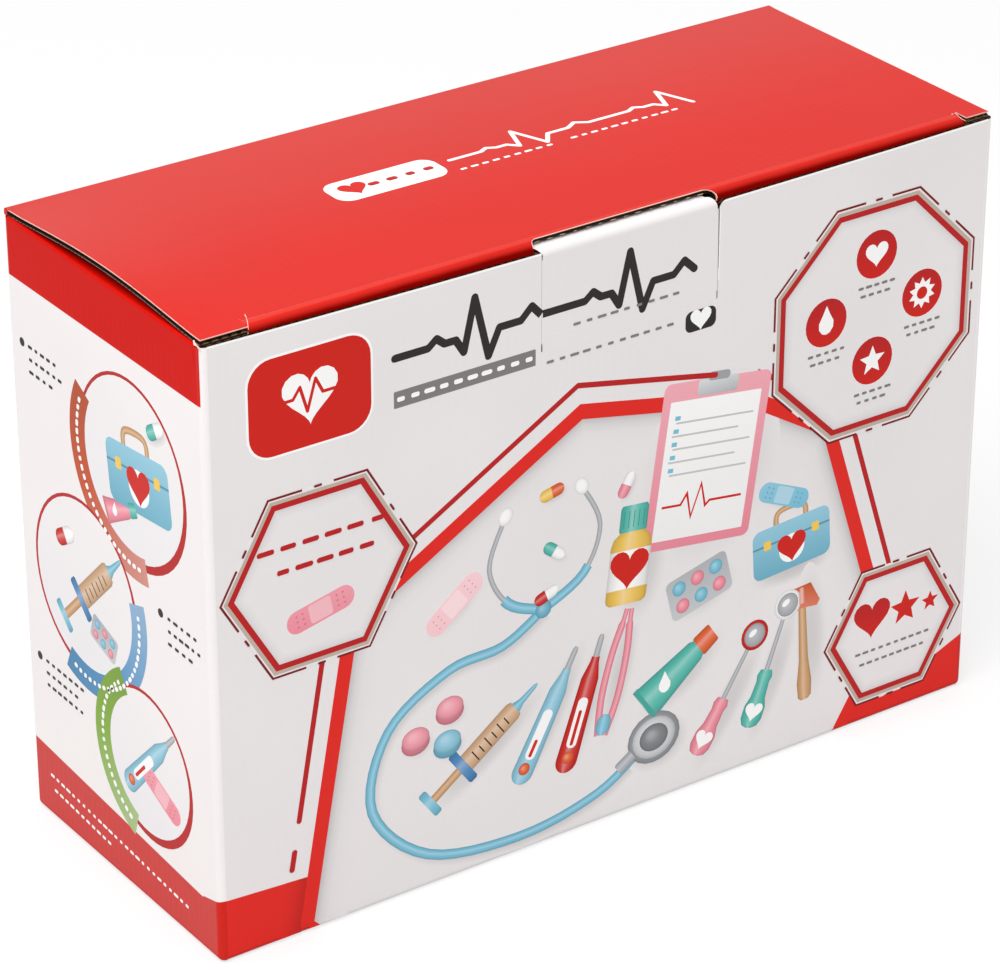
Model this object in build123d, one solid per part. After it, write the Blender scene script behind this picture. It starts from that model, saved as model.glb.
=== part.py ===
from build123d import *
import os
from math import cos, radians, sin

# Tuck-top carton for a toy doctor set, folded from one sheet of E-flute board.
# Millimetres, +Z up, +X along the front, front panel facing -Y.
# The origin is the centre of the bottom.

os.makedirs("parts", exist_ok=True)

# Closed carton, outside
width = 300.0
depth = 116.0
height = 214.5

# Board: a printed sheet and a kraft liner glued to a fluted medium
liner = 0.3
core = 1.2
board = core + 2 * liner
flute_pitch = 3.1
medium = 0.2
crest = 0.7

# Creases and clearances
corner_radius = 2.4
crease_foot = 1.8
gap = 0.3
slit = 0.4

# Lid
lid_inset_left = 0.6
lid_inset_right = 1.8
roll_radius = 3.0
roll_nose = 0.6
ear_width_left = 16.2
ear_width_right = 9.4
ear_setback = 0.8
ear_slit = 0.6
ear_slit_length = 5.0
slot_shift = 3.5
slot_extra = 2.0
front_sag = 1.4
sag_steps = 4

# Tuck flap, standing a little inside square so that it slides in
tuck_length = 26.0
tuck_lean = 8.5
tuck_taper = 5.0
tuck_corner = 8.0
notch_depth = 4.0
notch_margin = 1.0

# Lock tongue, cut from the front panel and bent in over the tuck flap
tongue_center = 4.5
tongue_width = 67.0
tongue_foot = 35.0
tongue_roll = 3.0
tip_droop = 11.0
tip_length = 12.0
tip_play = 1.25
tip_corner = 5.0
tip_shoulder = 7.0
shoulder_radius = 3.0

# Dust flaps
dust_length = 50.0
dust_front = 9.0
dust_shoulder_play = 1.4
dust_shoulder_setback = 3.5
dust_slope = 0.5
dust_margin = 1.5
dust_corner = 5.0

# Glued corner and crash-lock bottom
glue_width = 25.0
glue_taper = 10.0
bottom_inset = 12.6
bottom_taper = 3.6
seam_step = 10.0
seam_run = 20.0
web_length = 45.0
web_inset = 7.0
web_corner = 18.0
back_raw_inset = 1.0

# Sizes that follow
half_width = width / 2
half_depth = depth / 2
wall_x = half_width - corner_radius
wall_y = half_depth - corner_radius
hinge_y = half_depth - board / 2
lid_axis_z = height - board / 2
lid_low = height - board
lid_back = half_depth - board - gap
dust_high = lid_low - gap
dust_low = dust_high - board
dust_axis_z = dust_high - board / 2
side_top = dust_axis_z - crease_foot
back_top = lid_axis_z - crease_foot
front_top = dust_high - gap
glue_y = half_depth - board - corner_radius
lid_left = -half_width + lid_inset_left
lid_right = half_width - lid_inset_right
ear_left = lid_left + ear_width_left
ear_right = lid_right - ear_width_right
roll_left = ear_left + ear_slit
roll_right = ear_right - ear_slit
roll_y = -half_depth + board + gap + roll_radius
roll_z = height - roll_radius
tongue_left = tongue_center - tongue_width / 2
tongue_right = tongue_center + tongue_width / 2
slot_left = tongue_left - slot_extra / 2 - slot_shift
slot_right = tongue_right + slot_extra / 2 - slot_shift
tip_left = slot_left + tip_play
tip_right = slot_right - tip_play
tongue_axis_z = height - tongue_foot
tongue_top = dust_high
tongue_roll_z = tongue_top - tongue_roll


def span(x0, x1, y0, y1):
    """Rectangle between two X and two Y values."""
    return Pos((x0 + x1) / 2, (y0 + y1) / 2) * Rectangle(x1 - x0, y1 - y0)


def outline(points):
    """Closed flat outline through a few corner points."""
    return make_face(Polyline(*points, close=True))


def fluting(x0, x1, y0, y1, flat=0):
    """Fluted medium: waves across X, flutes along Y, glued between the two faces.

    The crests are flat where they are glued if a flat is given, and plain V waves if not.
    """
    count = max(1, round((x1 - x0) / flute_pitch))
    pitch = (x1 - x0) / count
    low = medium / 2
    high = core - medium / 2
    ridge = []
    for wave in range(count):
        for start, z in ((x0 + wave * pitch, low), (x0 + (wave + 0.5) * pitch, high)):
            ridge += [(start, z), (start + flat, z)] if flat else [(start, z)]
    ridge.append((x1, low))
    under = [(x, y0, liner + z - medium / 2) for x, z in ridge]
    over = [(x, y0, liner + z + medium / 2) for x, z in reversed(ridge)]
    section = outline(under + over)
    return extrude(section, amount=y1 - y0, dir=(0, 1, 0))


def printed_sheet(shape):
    return Pos(0, 0, liner + core) * extrude(shape, liner)


def kraft_liner(shape):
    return extrude(shape, liner)


def core_space(shape):
    """The room between the two faces of a board of this shape."""
    return Pos(0, 0, liner) * extrude(shape, core)


def bend(plane, radius, start, sweep, length):
    """Board bent round a crease: a ring sector about the plane's origin, drawn out along its normal."""
    outer = CenterArc((0, 0), radius, start, sweep)
    inner = CenterArc((0, 0), radius - board, start, sweep)
    ends = [Line(outer @ 0, inner @ 0), Line(outer @ 1, inner @ 1)]
    section = make_face(Curve() + [outer, inner] + ends)
    return plane * extrude(section, length)


def hinge_crease(plane, length, foot=crease_foot):
    """Crushed crease with a round top about the plane's origin, on a foot as thick as the board."""
    section = span(-board / 2, board / 2, -foot, 0) + Circle(board / 2)
    return plane * extrude(section, length)


def along_x(x, y, z):
    """Section plane across X, with Y to its right and Z up."""
    return Plane(origin=(x, y, z), x_dir=(0, 1, 0), z_dir=(1, 0, 0))


def along_y(x, y, z):
    """Section plane across Y, with -X to its right and Z up."""
    return Plane(origin=(x, y, z), x_dir=(-1, 0, 0), z_dir=(0, 1, 0))


front_plane = Plane(origin=(0, -half_depth + board, 0), x_dir=(1, 0, 0), z_dir=(0, -1, 0))
back_plane = Plane(origin=(0, half_depth - board, 0), x_dir=(-1, 0, 0), z_dir=(0, 1, 0))
lid_plane = Plane(origin=(0, 0, lid_low), x_dir=(1, 0, 0), z_dir=(0, 0, 1))


def side_plane(side):
    return Plane(origin=(side * (half_width - board), 0, 0), x_dir=(0, side, 0), z_dir=(side, 0, 0))


def dust_plane(side):
    origin = (side * (half_width - board / 2), 0, dust_low)
    return Plane(origin=origin, x_dir=(0, side, 0), z_dir=(0, 0, 1))


def front_panel():
    """Front wall: its top edge dips a little under the lid, and the lock tongue is cut from it."""
    left = tongue_left - slit
    right = tongue_right + slit
    notch_low = tongue_axis_z - crease_foot
    steps = [share / sag_steps for share in range(-sag_steps, sag_steps + 1)]
    dip = [(wall_x * step, front_top - front_sag * (1 - step**2)) for step in steps]
    sheet = outline([(wall_x, corner_radius), (-wall_x, corner_radius)] + dip)
    sheet -= span(left, right, notch_low, front_top + board)
    shoulder = sheet.vertices().filter_by_position(Axis.X, right - 0.1, right + 0.1).sort_by(Axis.Y)[-1]
    sheet = fillet(shoulder, shoulder_radius)
    left_field = fluting(-wall_x, left, corner_radius, front_top) & core_space(sheet)
    right_field = fluting(right, wall_x, corner_radius, front_top) & core_space(sheet)
    return {
        "front_panel_print_sheet": front_plane * printed_sheet(sheet),
        "front_panel_liner": front_plane * kraft_liner(sheet),
        "front_panel_fluting_left": front_plane * left_field,
        "front_panel_fluting_right": front_plane * right_field,
        "front_panel_fluting_below_tongue": front_plane * fluting(left, right, corner_radius, notch_low),
        "tongue_foot_crease": hinge_crease(
            along_x(tongue_left, -hinge_y, tongue_axis_z), tongue_width
        ),
    }


def back_panel():
    """Back wall, whose right edge is left raw outside the glue flap."""
    x0 = back_raw_inset - half_width
    x1 = wall_x
    sheet = span(x0, x1, corner_radius, back_top)
    return {
        "back_panel_print_sheet": back_plane * printed_sheet(sheet),
        "back_panel_fluting": back_plane * fluting(x0, x1, corner_radius, back_top),
        "back_panel_liner": back_plane * kraft_liner(sheet),
        "lid_crease": hinge_crease(along_x(-wall_x, hinge_y, lid_axis_z), 2 * wall_x),
    }


def side_panel(name, side, back_y):
    """Side wall and the crease on its top edge that the dust flap turns on."""
    x0, x1 = sorted((side * -wall_y, side * back_y))
    sheet = span(x0, x1, corner_radius, side_top)
    crease = along_y(side * (half_width - board / 2), -wall_y, dust_axis_z)
    plane = side_plane(side)
    return {
        f"{name}_panel_print_sheet": plane * printed_sheet(sheet),
        f"{name}_panel_fluting": plane * fluting(x0, x1, corner_radius, side_top),
        f"{name}_panel_liner": plane * kraft_liner(sheet),
        f"{name}_dust_crease": hinge_crease(crease, wall_y + back_y),
    }


def corner_crease(side_x, side_y, top):
    """Upright corner fold, closed below by a crushed round end."""
    center = (side_x * wall_x, side_y * wall_y)
    start = {(-1, -1): 180, (1, -1): 270, (-1, 1): 90}[(side_x, side_y)]
    fold = bend(Plane(origin=(*center, corner_radius)), corner_radius, start, 90, top - corner_radius)
    ball = Pos(*center, corner_radius) * (Sphere(corner_radius) - Sphere(corner_radius - board))
    corner = Box(corner_radius, corner_radius, corner_radius, align=(Align.MIN, Align.MIN, Align.MIN))
    corner = Pos(
        center[0] + min(0, side_x) * corner_radius,
        center[1] + min(0, side_y) * corner_radius,
        0,
    ) * corner
    return fold + (ball & corner)


def glued_corner():
    """Back right corner: the side panel's glue flap lies inside the back panel."""
    length = side_top - corner_radius
    fold = bend(Plane(origin=(wall_x, glue_y, corner_radius)), corner_radius, 0, 90, length)
    y0 = half_depth - 2 * board
    low = corner_radius + glue_taper
    high = side_top - glue_taper
    flap = outline([
        (wall_x, corner_radius + board),
        (wall_x, side_top - board),
        (wall_x - glue_width, high),
        (wall_x - glue_width, low),
    ])
    flap_plane = Plane(origin=(0, y0, 0), x_dir=(1, 0, 0), z_dir=(0, -1, 0))
    return {
        "glue_flap_crease": fold,
        "glue_flap": flap_plane * extrude(flap, -board),
    }


def long_bottom_flap():
    """Front bottom flap with its fold; its edge hooks round the same edge of the back one."""
    reach = wall_x - bottom_inset
    near = -wall_y
    edge = seam_step - gap / 2
    plate = outline([
        (-wall_x, near),
        (wall_x, near),
        (reach, near + bottom_taper),
        (reach, -seam_step - gap / 2),
        (seam_run, -seam_step - gap / 2),
        (-seam_run, edge),
        (-reach, edge),
        (-reach, near + bottom_taper),
    ])
    fold = bend(along_x(-wall_x, near, corner_radius), corner_radius, 180, 90, 2 * wall_x)
    return fold + extrude(plate, board)


def web_bottom_flap(side, back_y):
    """Side bottom flap, stepped up to lie glued on the two long flaps."""
    fold_plane = along_y(side * wall_x, -wall_y, corner_radius)
    start = 270 if side < 0 else 180
    fold = bend(fold_plane, corner_radius, start, 90, wall_y + back_y)
    step = wall_x - bottom_inset + gap
    tip = wall_x - web_length
    half = wall_y - web_inset + bottom_taper
    section = outline([
        (wall_x, 0, 0),
        (step, 0, board),
        (tip, 0, board),
        (tip, 0, 2 * board),
        (step, 0, 2 * board),
        (wall_x, 0, board),
    ])
    web = Pos(0, -half, 0) * extrude(section, amount=2 * half, dir=(0, 1, 0))
    corners = web.edges().filter_by(Axis.Z).sort_by(Axis.X)[:2]
    web = chamfer(corners, web_corner)
    if side < 0:
        web = Rot(0, 0, 180) * web
    return fold + web


def lid():
    """Top panel with a flat ear at each front end and the rolled edges that carry the tuck flap."""
    front = -half_depth + ear_setback
    sheet = span(lid_left, lid_right, roll_y, lid_back)
    sheet += span(lid_left, ear_left, front, roll_y)
    sheet += span(ear_right, lid_right, front, roll_y)
    for cut_x in ((ear_left + roll_left) / 2, (ear_right + roll_right) / 2):
        cut = Pos(cut_x, front + ear_slit_length) * Circle(ear_slit / 2)
        cut += span(cut_x - ear_slit / 2, cut_x + ear_slit / 2, front, front + ear_slit_length)
        sheet -= cut
    nodes = {
        "lid_print_sheet": lid_plane * printed_sheet(sheet),
        "lid_liner": lid_plane * kraft_liner(sheet),
        "lid_fluting_left": lid_plane * fluting(lid_left, ear_left, front, lid_back, crest),
        "lid_fluting_middle": lid_plane * fluting(roll_left, roll_right, roll_y, lid_back, crest),
        "lid_fluting_right": lid_plane * fluting(ear_right, lid_right, front, lid_back, crest),
    }
    for name, x0, x1 in (("left", roll_left, slot_left), ("right", slot_right, roll_right)):
        roll = bend(along_x(x0, roll_y, roll_z), roll_radius, 90, 90 + tuck_lean, x1 - x0)
        nose = hinge_crease(tuck_axis_plane(x0), x1 - x0, roll_nose)
        nodes[f"{name}_tuck_crease"] = roll + nose
    return nodes


def tuck_directions():
    """Down along the tuck flap and out through its printed face, as (y, z)."""
    lean = radians(tuck_lean)
    return (sin(lean), -cos(lean)), (-cos(lean), -sin(lean))


def tuck_axis():
    """Centre of the crease that the tuck flap turns on, as (y, z)."""
    down, out = tuck_directions()
    reach = roll_radius - board / 2
    y = roll_y + reach * out[0] + roll_nose * down[0]
    z = roll_z + reach * out[1] + roll_nose * down[1]
    return y, z


def tuck_axis_plane(x):
    """Section plane across X at the tuck crease, with the flap hanging along its Y."""
    out = tuck_directions()[1]
    y, z = tuck_axis()
    return Plane(origin=(x, y, z), x_dir=(0, *out), z_dir=(1, 0, 0))


def tuck_flap():
    """Flap behind the front panel, notched where the lock tongue hooks over it."""
    out = tuck_directions()[1]
    y, z = tuck_axis()
    top = board / 2 + gap
    sheet = outline([
        (-roll_right, top),
        (-roll_left, top),
        (-roll_left - tuck_taper, tuck_length),
        (-roll_right + tuck_taper, tuck_length),
    ])
    sheet = fillet(sheet.vertices().sort_by(Axis.Y)[-2:], tuck_corner)
    notch = span(-slot_right - notch_margin, -slot_left + notch_margin, 0, top + notch_depth)
    sheet -= notch
    origin = (0, y - out[0] * board / 2, z - out[1] * board / 2)
    plane = Plane(origin=origin, x_dir=(-1, 0, 0), z_dir=(0, *out))
    field = fluting(-roll_right, -roll_left, top, tuck_length) & core_space(sheet)
    return {
        "tuck_flap_print_sheet": plane * printed_sheet(sheet),
        "tuck_flap_fluting": plane * field,
        "tuck_flap_liner": plane * kraft_liner(sheet),
    }


def dust_flap(name, side, roll_end):
    """Flap under the lid; its back edge slopes so that the lid clears it as both rise."""
    dust_shoulder = half_width - board / 2 - roll_end - dust_shoulder_play
    start = board / 2 + gap
    front = -half_depth + dust_front
    shoulder = -half_depth + dust_shoulder_setback
    back = hinge_y - dust_margin
    slope = dust_front - dust_shoulder_setback
    points = [
        (shoulder, start),
        (shoulder, dust_shoulder),
        (front, dust_shoulder + slope / 2),
        (front, dust_length),
        (back - dust_slope * dust_length, dust_length),
        (back - dust_slope * start, start),
    ]
    sheet = outline([(side * y, s) for y, s in points])
    sheet = fillet(sheet.vertices().sort_by(Axis.Y)[-2:], dust_corner)
    plane = dust_plane(side)
    x0, x1 = sorted((side * shoulder, side * back))
    field = fluting(x0, x1, start, dust_length) & core_space(sheet)
    return {
        f"{name}_dust_flap_print_sheet": plane * printed_sheet(sheet),
        f"{name}_dust_flap_fluting": plane * field,
        f"{name}_dust_flap_liner": plane * kraft_liner(sheet),
    }


def lock_tongue():
    """Tongue between the two slits of the front panel; its tip bends in under the lid."""
    low = tongue_axis_z + board / 2 + gap
    sheet = span(tongue_left, tongue_right, low, tongue_roll_z)
    sheet = chamfer(sheet.vertices().group_by(Axis.Y)[-1].sort_by(Axis.X)[-1], tongue_right - tip_right)
    field = fluting(tongue_left, tongue_right, low, tongue_roll_z) & core_space(sheet)
    center_y = -half_depth + tongue_roll
    roll_plane = along_x(tongue_left, center_y, tongue_roll_z)
    roll = bend(roll_plane, tongue_roll, 90 - tip_droop, 90 + tip_droop, tip_right - tongue_left)
    end = radians(90 - tip_droop)
    inner = tongue_roll - board
    origin = (0, center_y + inner * cos(end), tongue_roll_z + inner * sin(end))
    tip_plane = Plane(origin=origin, x_dir=(1, 0, 0), z_dir=(0, cos(end), sin(end)))
    shoulder = bend(
        along_x(tip_left, center_y, tongue_roll_z), tongue_roll, 90 - tip_droop, tip_shoulder, tongue_left - tip_left
    )
    tip = span(tip_left, tip_right, 0, tip_length)
    tip = fillet(tip.vertices().sort_by(Axis.Y)[-2:], tip_corner)
    return {
        "lock_tongue_print_sheet": front_plane * printed_sheet(sheet),
        "lock_tongue_fluting": front_plane * field,
        "lock_tongue_liner": front_plane * kraft_liner(sheet),
        "lock_tongue_tip": roll + shoulder + tip_plane * extrude(tip, board),
    }


nodes = {}
nodes.update(front_panel())
nodes.update(back_panel())
nodes.update(side_panel("left", -1, wall_y))
nodes.update(side_panel("right", 1, glue_y))
nodes["front_left_corner_crease"] = corner_crease(-1, -1, front_top)
nodes["front_right_corner_crease"] = corner_crease(1, -1, front_top)
nodes["back_left_corner_crease"] = corner_crease(-1, 1, front_top)
nodes.update(glued_corner())
nodes["front_bottom_flap"] = long_bottom_flap()
nodes["back_bottom_flap"] = Rot(0, 0, 180) * long_bottom_flap()
nodes["left_bottom_flap"] = web_bottom_flap(-1, wall_y)
nodes["right_bottom_flap"] = web_bottom_flap(1, glue_y)
nodes.update(lid())
nodes.update(tuck_flap())
nodes.update(dust_flap("left", -1, -roll_left))
nodes.update(dust_flap("right", 1, roll_right))
nodes.update(lock_tongue())

for name, solid in nodes.items():
    export_step(solid, f"parts/{name}.step")

hinge_lines = {
    "lid": (hinge_y, lid_axis_z),
    "dust": (half_width - board / 2, dust_axis_z),
    "tuck": tuck_axis(),
    "tongue": (-hinge_y, tongue_axis_z),
}
for name, line in hinge_lines.items():
    print(name, "crease axis", [round(value, 4) for value in line])
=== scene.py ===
import bmesh
import bpy
from math import cos, sin, pi, radians, hypot
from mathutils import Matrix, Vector
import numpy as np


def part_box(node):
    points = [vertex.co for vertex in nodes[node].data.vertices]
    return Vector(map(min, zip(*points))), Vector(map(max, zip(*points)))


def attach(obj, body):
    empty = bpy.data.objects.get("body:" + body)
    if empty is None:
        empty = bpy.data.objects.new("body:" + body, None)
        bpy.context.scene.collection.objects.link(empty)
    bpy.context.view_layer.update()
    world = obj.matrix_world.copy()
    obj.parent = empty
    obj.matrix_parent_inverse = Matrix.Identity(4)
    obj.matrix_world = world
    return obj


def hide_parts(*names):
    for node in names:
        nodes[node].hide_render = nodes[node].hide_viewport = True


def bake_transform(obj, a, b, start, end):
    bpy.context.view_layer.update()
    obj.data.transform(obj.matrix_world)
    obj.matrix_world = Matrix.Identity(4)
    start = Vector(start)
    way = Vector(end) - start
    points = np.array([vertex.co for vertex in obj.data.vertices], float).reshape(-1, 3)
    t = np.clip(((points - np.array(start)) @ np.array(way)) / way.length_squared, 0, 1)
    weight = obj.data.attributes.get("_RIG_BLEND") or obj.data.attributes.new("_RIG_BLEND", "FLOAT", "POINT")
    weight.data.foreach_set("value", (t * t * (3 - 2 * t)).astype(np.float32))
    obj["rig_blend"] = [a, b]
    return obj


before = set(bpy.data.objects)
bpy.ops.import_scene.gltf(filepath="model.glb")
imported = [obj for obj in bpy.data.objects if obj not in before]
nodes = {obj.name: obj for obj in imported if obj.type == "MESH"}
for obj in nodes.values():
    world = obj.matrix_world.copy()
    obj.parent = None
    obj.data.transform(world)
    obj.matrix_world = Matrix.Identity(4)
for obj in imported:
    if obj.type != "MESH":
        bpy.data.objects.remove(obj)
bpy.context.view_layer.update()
mm = 0.001

# Outside sizes of the closed carton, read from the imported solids
wall = {
    "left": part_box("left_panel_print_sheet")[0].x / mm,
    "right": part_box("right_panel_print_sheet")[1].x / mm,
    "front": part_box("front_panel_print_sheet")[0].y / mm,
    "back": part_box("back_panel_print_sheet")[1].y / mm,
    "top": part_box("lid_print_sheet")[1].z / mm,
}
tongueBox = [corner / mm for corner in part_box("lock_tongue_print_sheet")]
boxMiddle = (0, 0, wall["top"] / 2)
print("frame loaded,", len(nodes), "CAD nodes")


# Camera
camera = {"turn": -34.978, "lift": 27.608, "away": 1433.11, "lens": 152.551, "shiftRight": -3.436,
          "shiftUp": 88.215}


def addObject(name, data):
    made = bpy.data.objects.new(name, data)
    bpy.context.scene.collection.objects.link(made)
    return made


def makeCamera():
    turn, lift = radians(camera["turn"]), radians(camera["lift"])
    right = Vector((cos(turn), sin(turn), 0))
    back = Vector((sin(turn) * cos(lift), -cos(turn) * cos(lift), sin(lift)))
    up = back.cross(right)
    eye = right * camera["shiftRight"] + up * camera["shiftUp"] + back * camera["away"]
    data = bpy.data.cameras.new("camera")
    data.lens = camera["lens"]
    data.sensor_width = 36
    data.sensor_fit = "HORIZONTAL"
    data.clip_start = 0.05
    data.clip_end = 20
    shot = addObject("camera", data)
    shot.location = eye * mm
    shot.rotation_euler = back.to_track_quat("Z", "Y").to_euler()
    bpy.context.scene.camera = shot


makeCamera()
print("camera set")


# Colours and shader helpers
def ink(red, green, blue):
    steps = [value / 255 for value in (red, green, blue)]
    return tuple(s / 12.92 if s <= 0.04045 else ((s + 0.055) / 1.055) ** 2.4 for s in steps)


inks = {
    "paper": ink(233, 228, 228),
    # the side wall's paper: the front's same paper painted lighter, as painted light
    "sidePaperLit": ink(241, 236, 235),
    # the colour of the lid's painted sheen
    "sheenGrey": ink(168, 150, 146),
    "red": ink(206, 32, 22),
    "darkRed": ink(184, 30, 32),
    "maroon": ink(122, 28, 30),
    # the painted shade colour of the lid's front roll, and its painted highlight
    "rollShadeRed": ink(112, 2, 0),
    "rollHighlightInk": ink(250, 120, 104),
    "beige": ink(190, 174, 162),
    "charcoal": ink(48, 42, 42),
    "grey": ink(128, 124, 124),
    "paleGrey": ink(196, 193, 194),
    "kraft": ink(104, 76, 52),
    "kraftDark": ink(46, 31, 21),
    "kraftPale": ink(196, 170, 140),
    "linerLow": ink(128, 94, 62),
    "linerHigh": ink(176, 138, 100),
    "fleck": ink(84, 58, 38),
    "deepShade": ink(18, 8, 6),
    "slitDark": ink(30, 26, 26),
    "rimWhite": ink(255, 252, 248),
    "bareWhite": ink(255, 253, 250),
    "barePink": ink(255, 214, 200),
    "rawPink": ink(250, 196, 182),
    "cutPink": ink(246, 206, 194),
    "sky": ink(120, 190, 214),
    "deepBlue": ink(74, 134, 186),
    "pink": ink(238, 140, 156),
    "palePink": ink(248, 200, 206),
    "teal": ink(84, 186, 172),
    "wood": ink(206, 158, 108),
    "orange": ink(226, 98, 44),
    "chrome": ink(176, 178, 182),
    "yellow": ink(244, 200, 88),
    "white": ink(250, 249, 248),
    "ringTint": ink(214, 220, 234),
}


def newMaterial(name):
    material = bpy.data.materials.new(name)
    material.use_nodes = True
    tree = material.node_tree
    tree.nodes.clear()
    return material, tree


def addNode(tree, kind, inputs=None, **settings):
    node = tree.nodes.new(kind)
    for key, value in settings.items():
        setattr(node, key, value)
    for key, value in (inputs or {}).items():
        if isinstance(value, bpy.types.NodeSocket):
            tree.links.new(value, node.inputs[key])
        else:
            node.inputs[key].default_value = value
    return node


def calc(tree, operation, a, b=0.0, c=0.0, clamp=False):
    values = {0: a, 1: b, 2: c}
    return addNode(tree, "ShaderNodeMath", values, operation=operation, use_clamp=clamp).outputs[0]


def vectorCalc(tree, operation, a, b):
    return addNode(tree, "ShaderNodeVectorMath", {0: a, 1: b}, operation=operation)


def scaledBy(tree, vector, factor):
    return addNode(tree, "ShaderNodeVectorMath", {0: vector, 3: factor}, operation="SCALE").outputs[0]


def dotWith(tree, vector, direction):
    return vectorCalc(tree, "DOT_PRODUCT", vector, direction).outputs["Value"]


def mixInk(tree, share, under, over):
    def colour(value):
        return value if isinstance(value, bpy.types.NodeSocket) else (*value[:3], 1)
    values = {0: share, 6: colour(under), 7: colour(over)}
    return addNode(tree, "ShaderNodeMix", data_type="RGBA", inputs=values).outputs[2]


# the surface's normal, its place in mm, and that place's three numbers
def placeInMm(tree):
    spot = addNode(tree, "ShaderNodeTexCoord")
    place = scaledBy(tree, spot.outputs["Object"], 1 / mm)
    return spot.outputs["Normal"], place, addNode(tree, "ShaderNodeSeparateXYZ", {0: place}).outputs


def softStep(tree, value, low, high):
    values = {0: value, 1: low, 2: high}
    return addNode(tree, "ShaderNodeMapRange", values, interpolation_type="SMOOTHSTEP").outputs[0]


def noise(tree, vector, scale, detail=2.0, rough=0.5, stretch=(1, 1, 1)):
    spread = vectorCalc(tree, "MULTIPLY", vector, stretch).outputs[0]
    values = {"Vector": spread, "Scale": scale, "Detail": detail, "Roughness": rough}
    return addNode(tree, "ShaderNodeTexNoise", values).outputs["Fac"]


def bumpOf(tree, height, strength=1.0):
    values = {"Strength": strength, "Distance": mm, "Height": height}
    return addNode(tree, "ShaderNodeBump", values).outputs[0]


def shadeWith(tree, colour, roughness, specular, bump):
    values = {"Base Color": colour, "Roughness": roughness, "Specular IOR Level": specular, "Normal": bump}
    shader = addNode(tree, "ShaderNodeBsdfPrincipled", values)
    addNode(tree, "ShaderNodeOutputMaterial", {0: shader.outputs[0]})


# slow drift of ink density and fine mottling of the coated paper
def tonedInk(tree, place, colour):
    drift = calc(tree, "MULTIPLY", noise(tree, place, 0.012, 2, 0.5), 0.10)
    mottle = calc(tree, "MULTIPLY", noise(tree, place, 1.3, 3, 0.6), 0.035)
    return scaledBy(tree, colour, calc(tree, "ADD", calc(tree, "ADD", drift, mottle), 0.93))


# A printed region is the overlap of half spaces, each (direction, distance in mm)
def regionShare(tree, place, regions, blur=0.12):
    total = None
    for region in regions:
        inside = None
        for direction, reach in region:
            value = calc(tree, "SUBTRACT", dotWith(tree, place, direction), reach)
            inside = value if inside is None else calc(tree, "MINIMUM", inside, value)
        total = inside if total is None else calc(tree, "MAXIMUM", total, inside)
    return softStep(tree, total, -blur, blur)


# Board finishes
xAxis, yAxis, zAxis = (1, 0, 0), (0, 1, 0), (0, 0, 1)
leftward, frontward, downward = (-1, 0, 0), (0, -1, 0), (0, 0, -1)
gloss = {"roughness": 0.36, "specular": 0.13, "fluteShow": 0.012, "peel": 0.02, "sag": 0.5, "flutePitch": 3.1,
         "crackWidth": 1.1}
edgeLook = {"roughness": 0.85, "fibreScale": 1.6, "kraftSpecular": 0.3}
# painted shade and a painted highlight on the lid's front roll: the heights in mm over which the red darkens,
# the share of the shade colour, and the highlight's height, half width and share
rollLook = {"low": 212.5, "high": 214.3, "dark": 0.94, "ridge": 214.45, "ridgeHalf": 0.22, "shine": 0.12}
# painted sheen on the lid: where it starts and ends along y in mm, and its share on the lid and on the skins
# over the lid's fold
lidSheen = {"from": -40, "to": 70, "share": 0.1, "foldShare": 0.096}
bands = {"topLow": 192.9, "bottomBack": 26.7, "bottomFront": 19.6, "frontHigh": 12.36, "frontFall": 0.07,
         "legLean": 0.166, "legEdge": 116.5, "cornerWidth": 54.0, "cornerHigh": 21.7,
         "fadeLow": 20, "fadeHigh": 190, "span": 104, "sideWrap": 2.4, "endWrap": 0.4, "topWrap": 1.2}
sideStrip = {"fall": 0.25, "high": 8.3, "from": 48}
leftFoot = {"reach": 112.5, "edge": 118}
rightFoot = {"slope": 1.617, "reach": 148.6, "high": 7.5, "edge": 128}
frontEdge = {"top": 212.1, "sag": 1.4, "half": 147.6, "rim": 0.55}
lidEdge = {"left": 149.4, "right": 148.2, "front": 57.2, "slitRight": 138.8, "slitBack": 51.8, "bare": 0.14}
slitSides = [[(xAxis, 38.5), (leftward, -38.9), (zAxis, 184), (frontward, 0)]]
slitShade = [[(xAxis, 38.2), (leftward, -38.52), (zAxis, 188), (frontward, 0)]]


def lidBorder():
    bare, slit = lidEdge["bare"], lidEdge["slitRight"]
    return [
        [(leftward, lidEdge["left"] - bare)],
        [(xAxis, lidEdge["right"] - bare)],
        [(frontward, lidEdge["front"] - bare)],
        [(xAxis, slit - 0.1), (leftward, -slit - bare), (frontward, lidEdge["slitBack"])],
    ]


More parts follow.
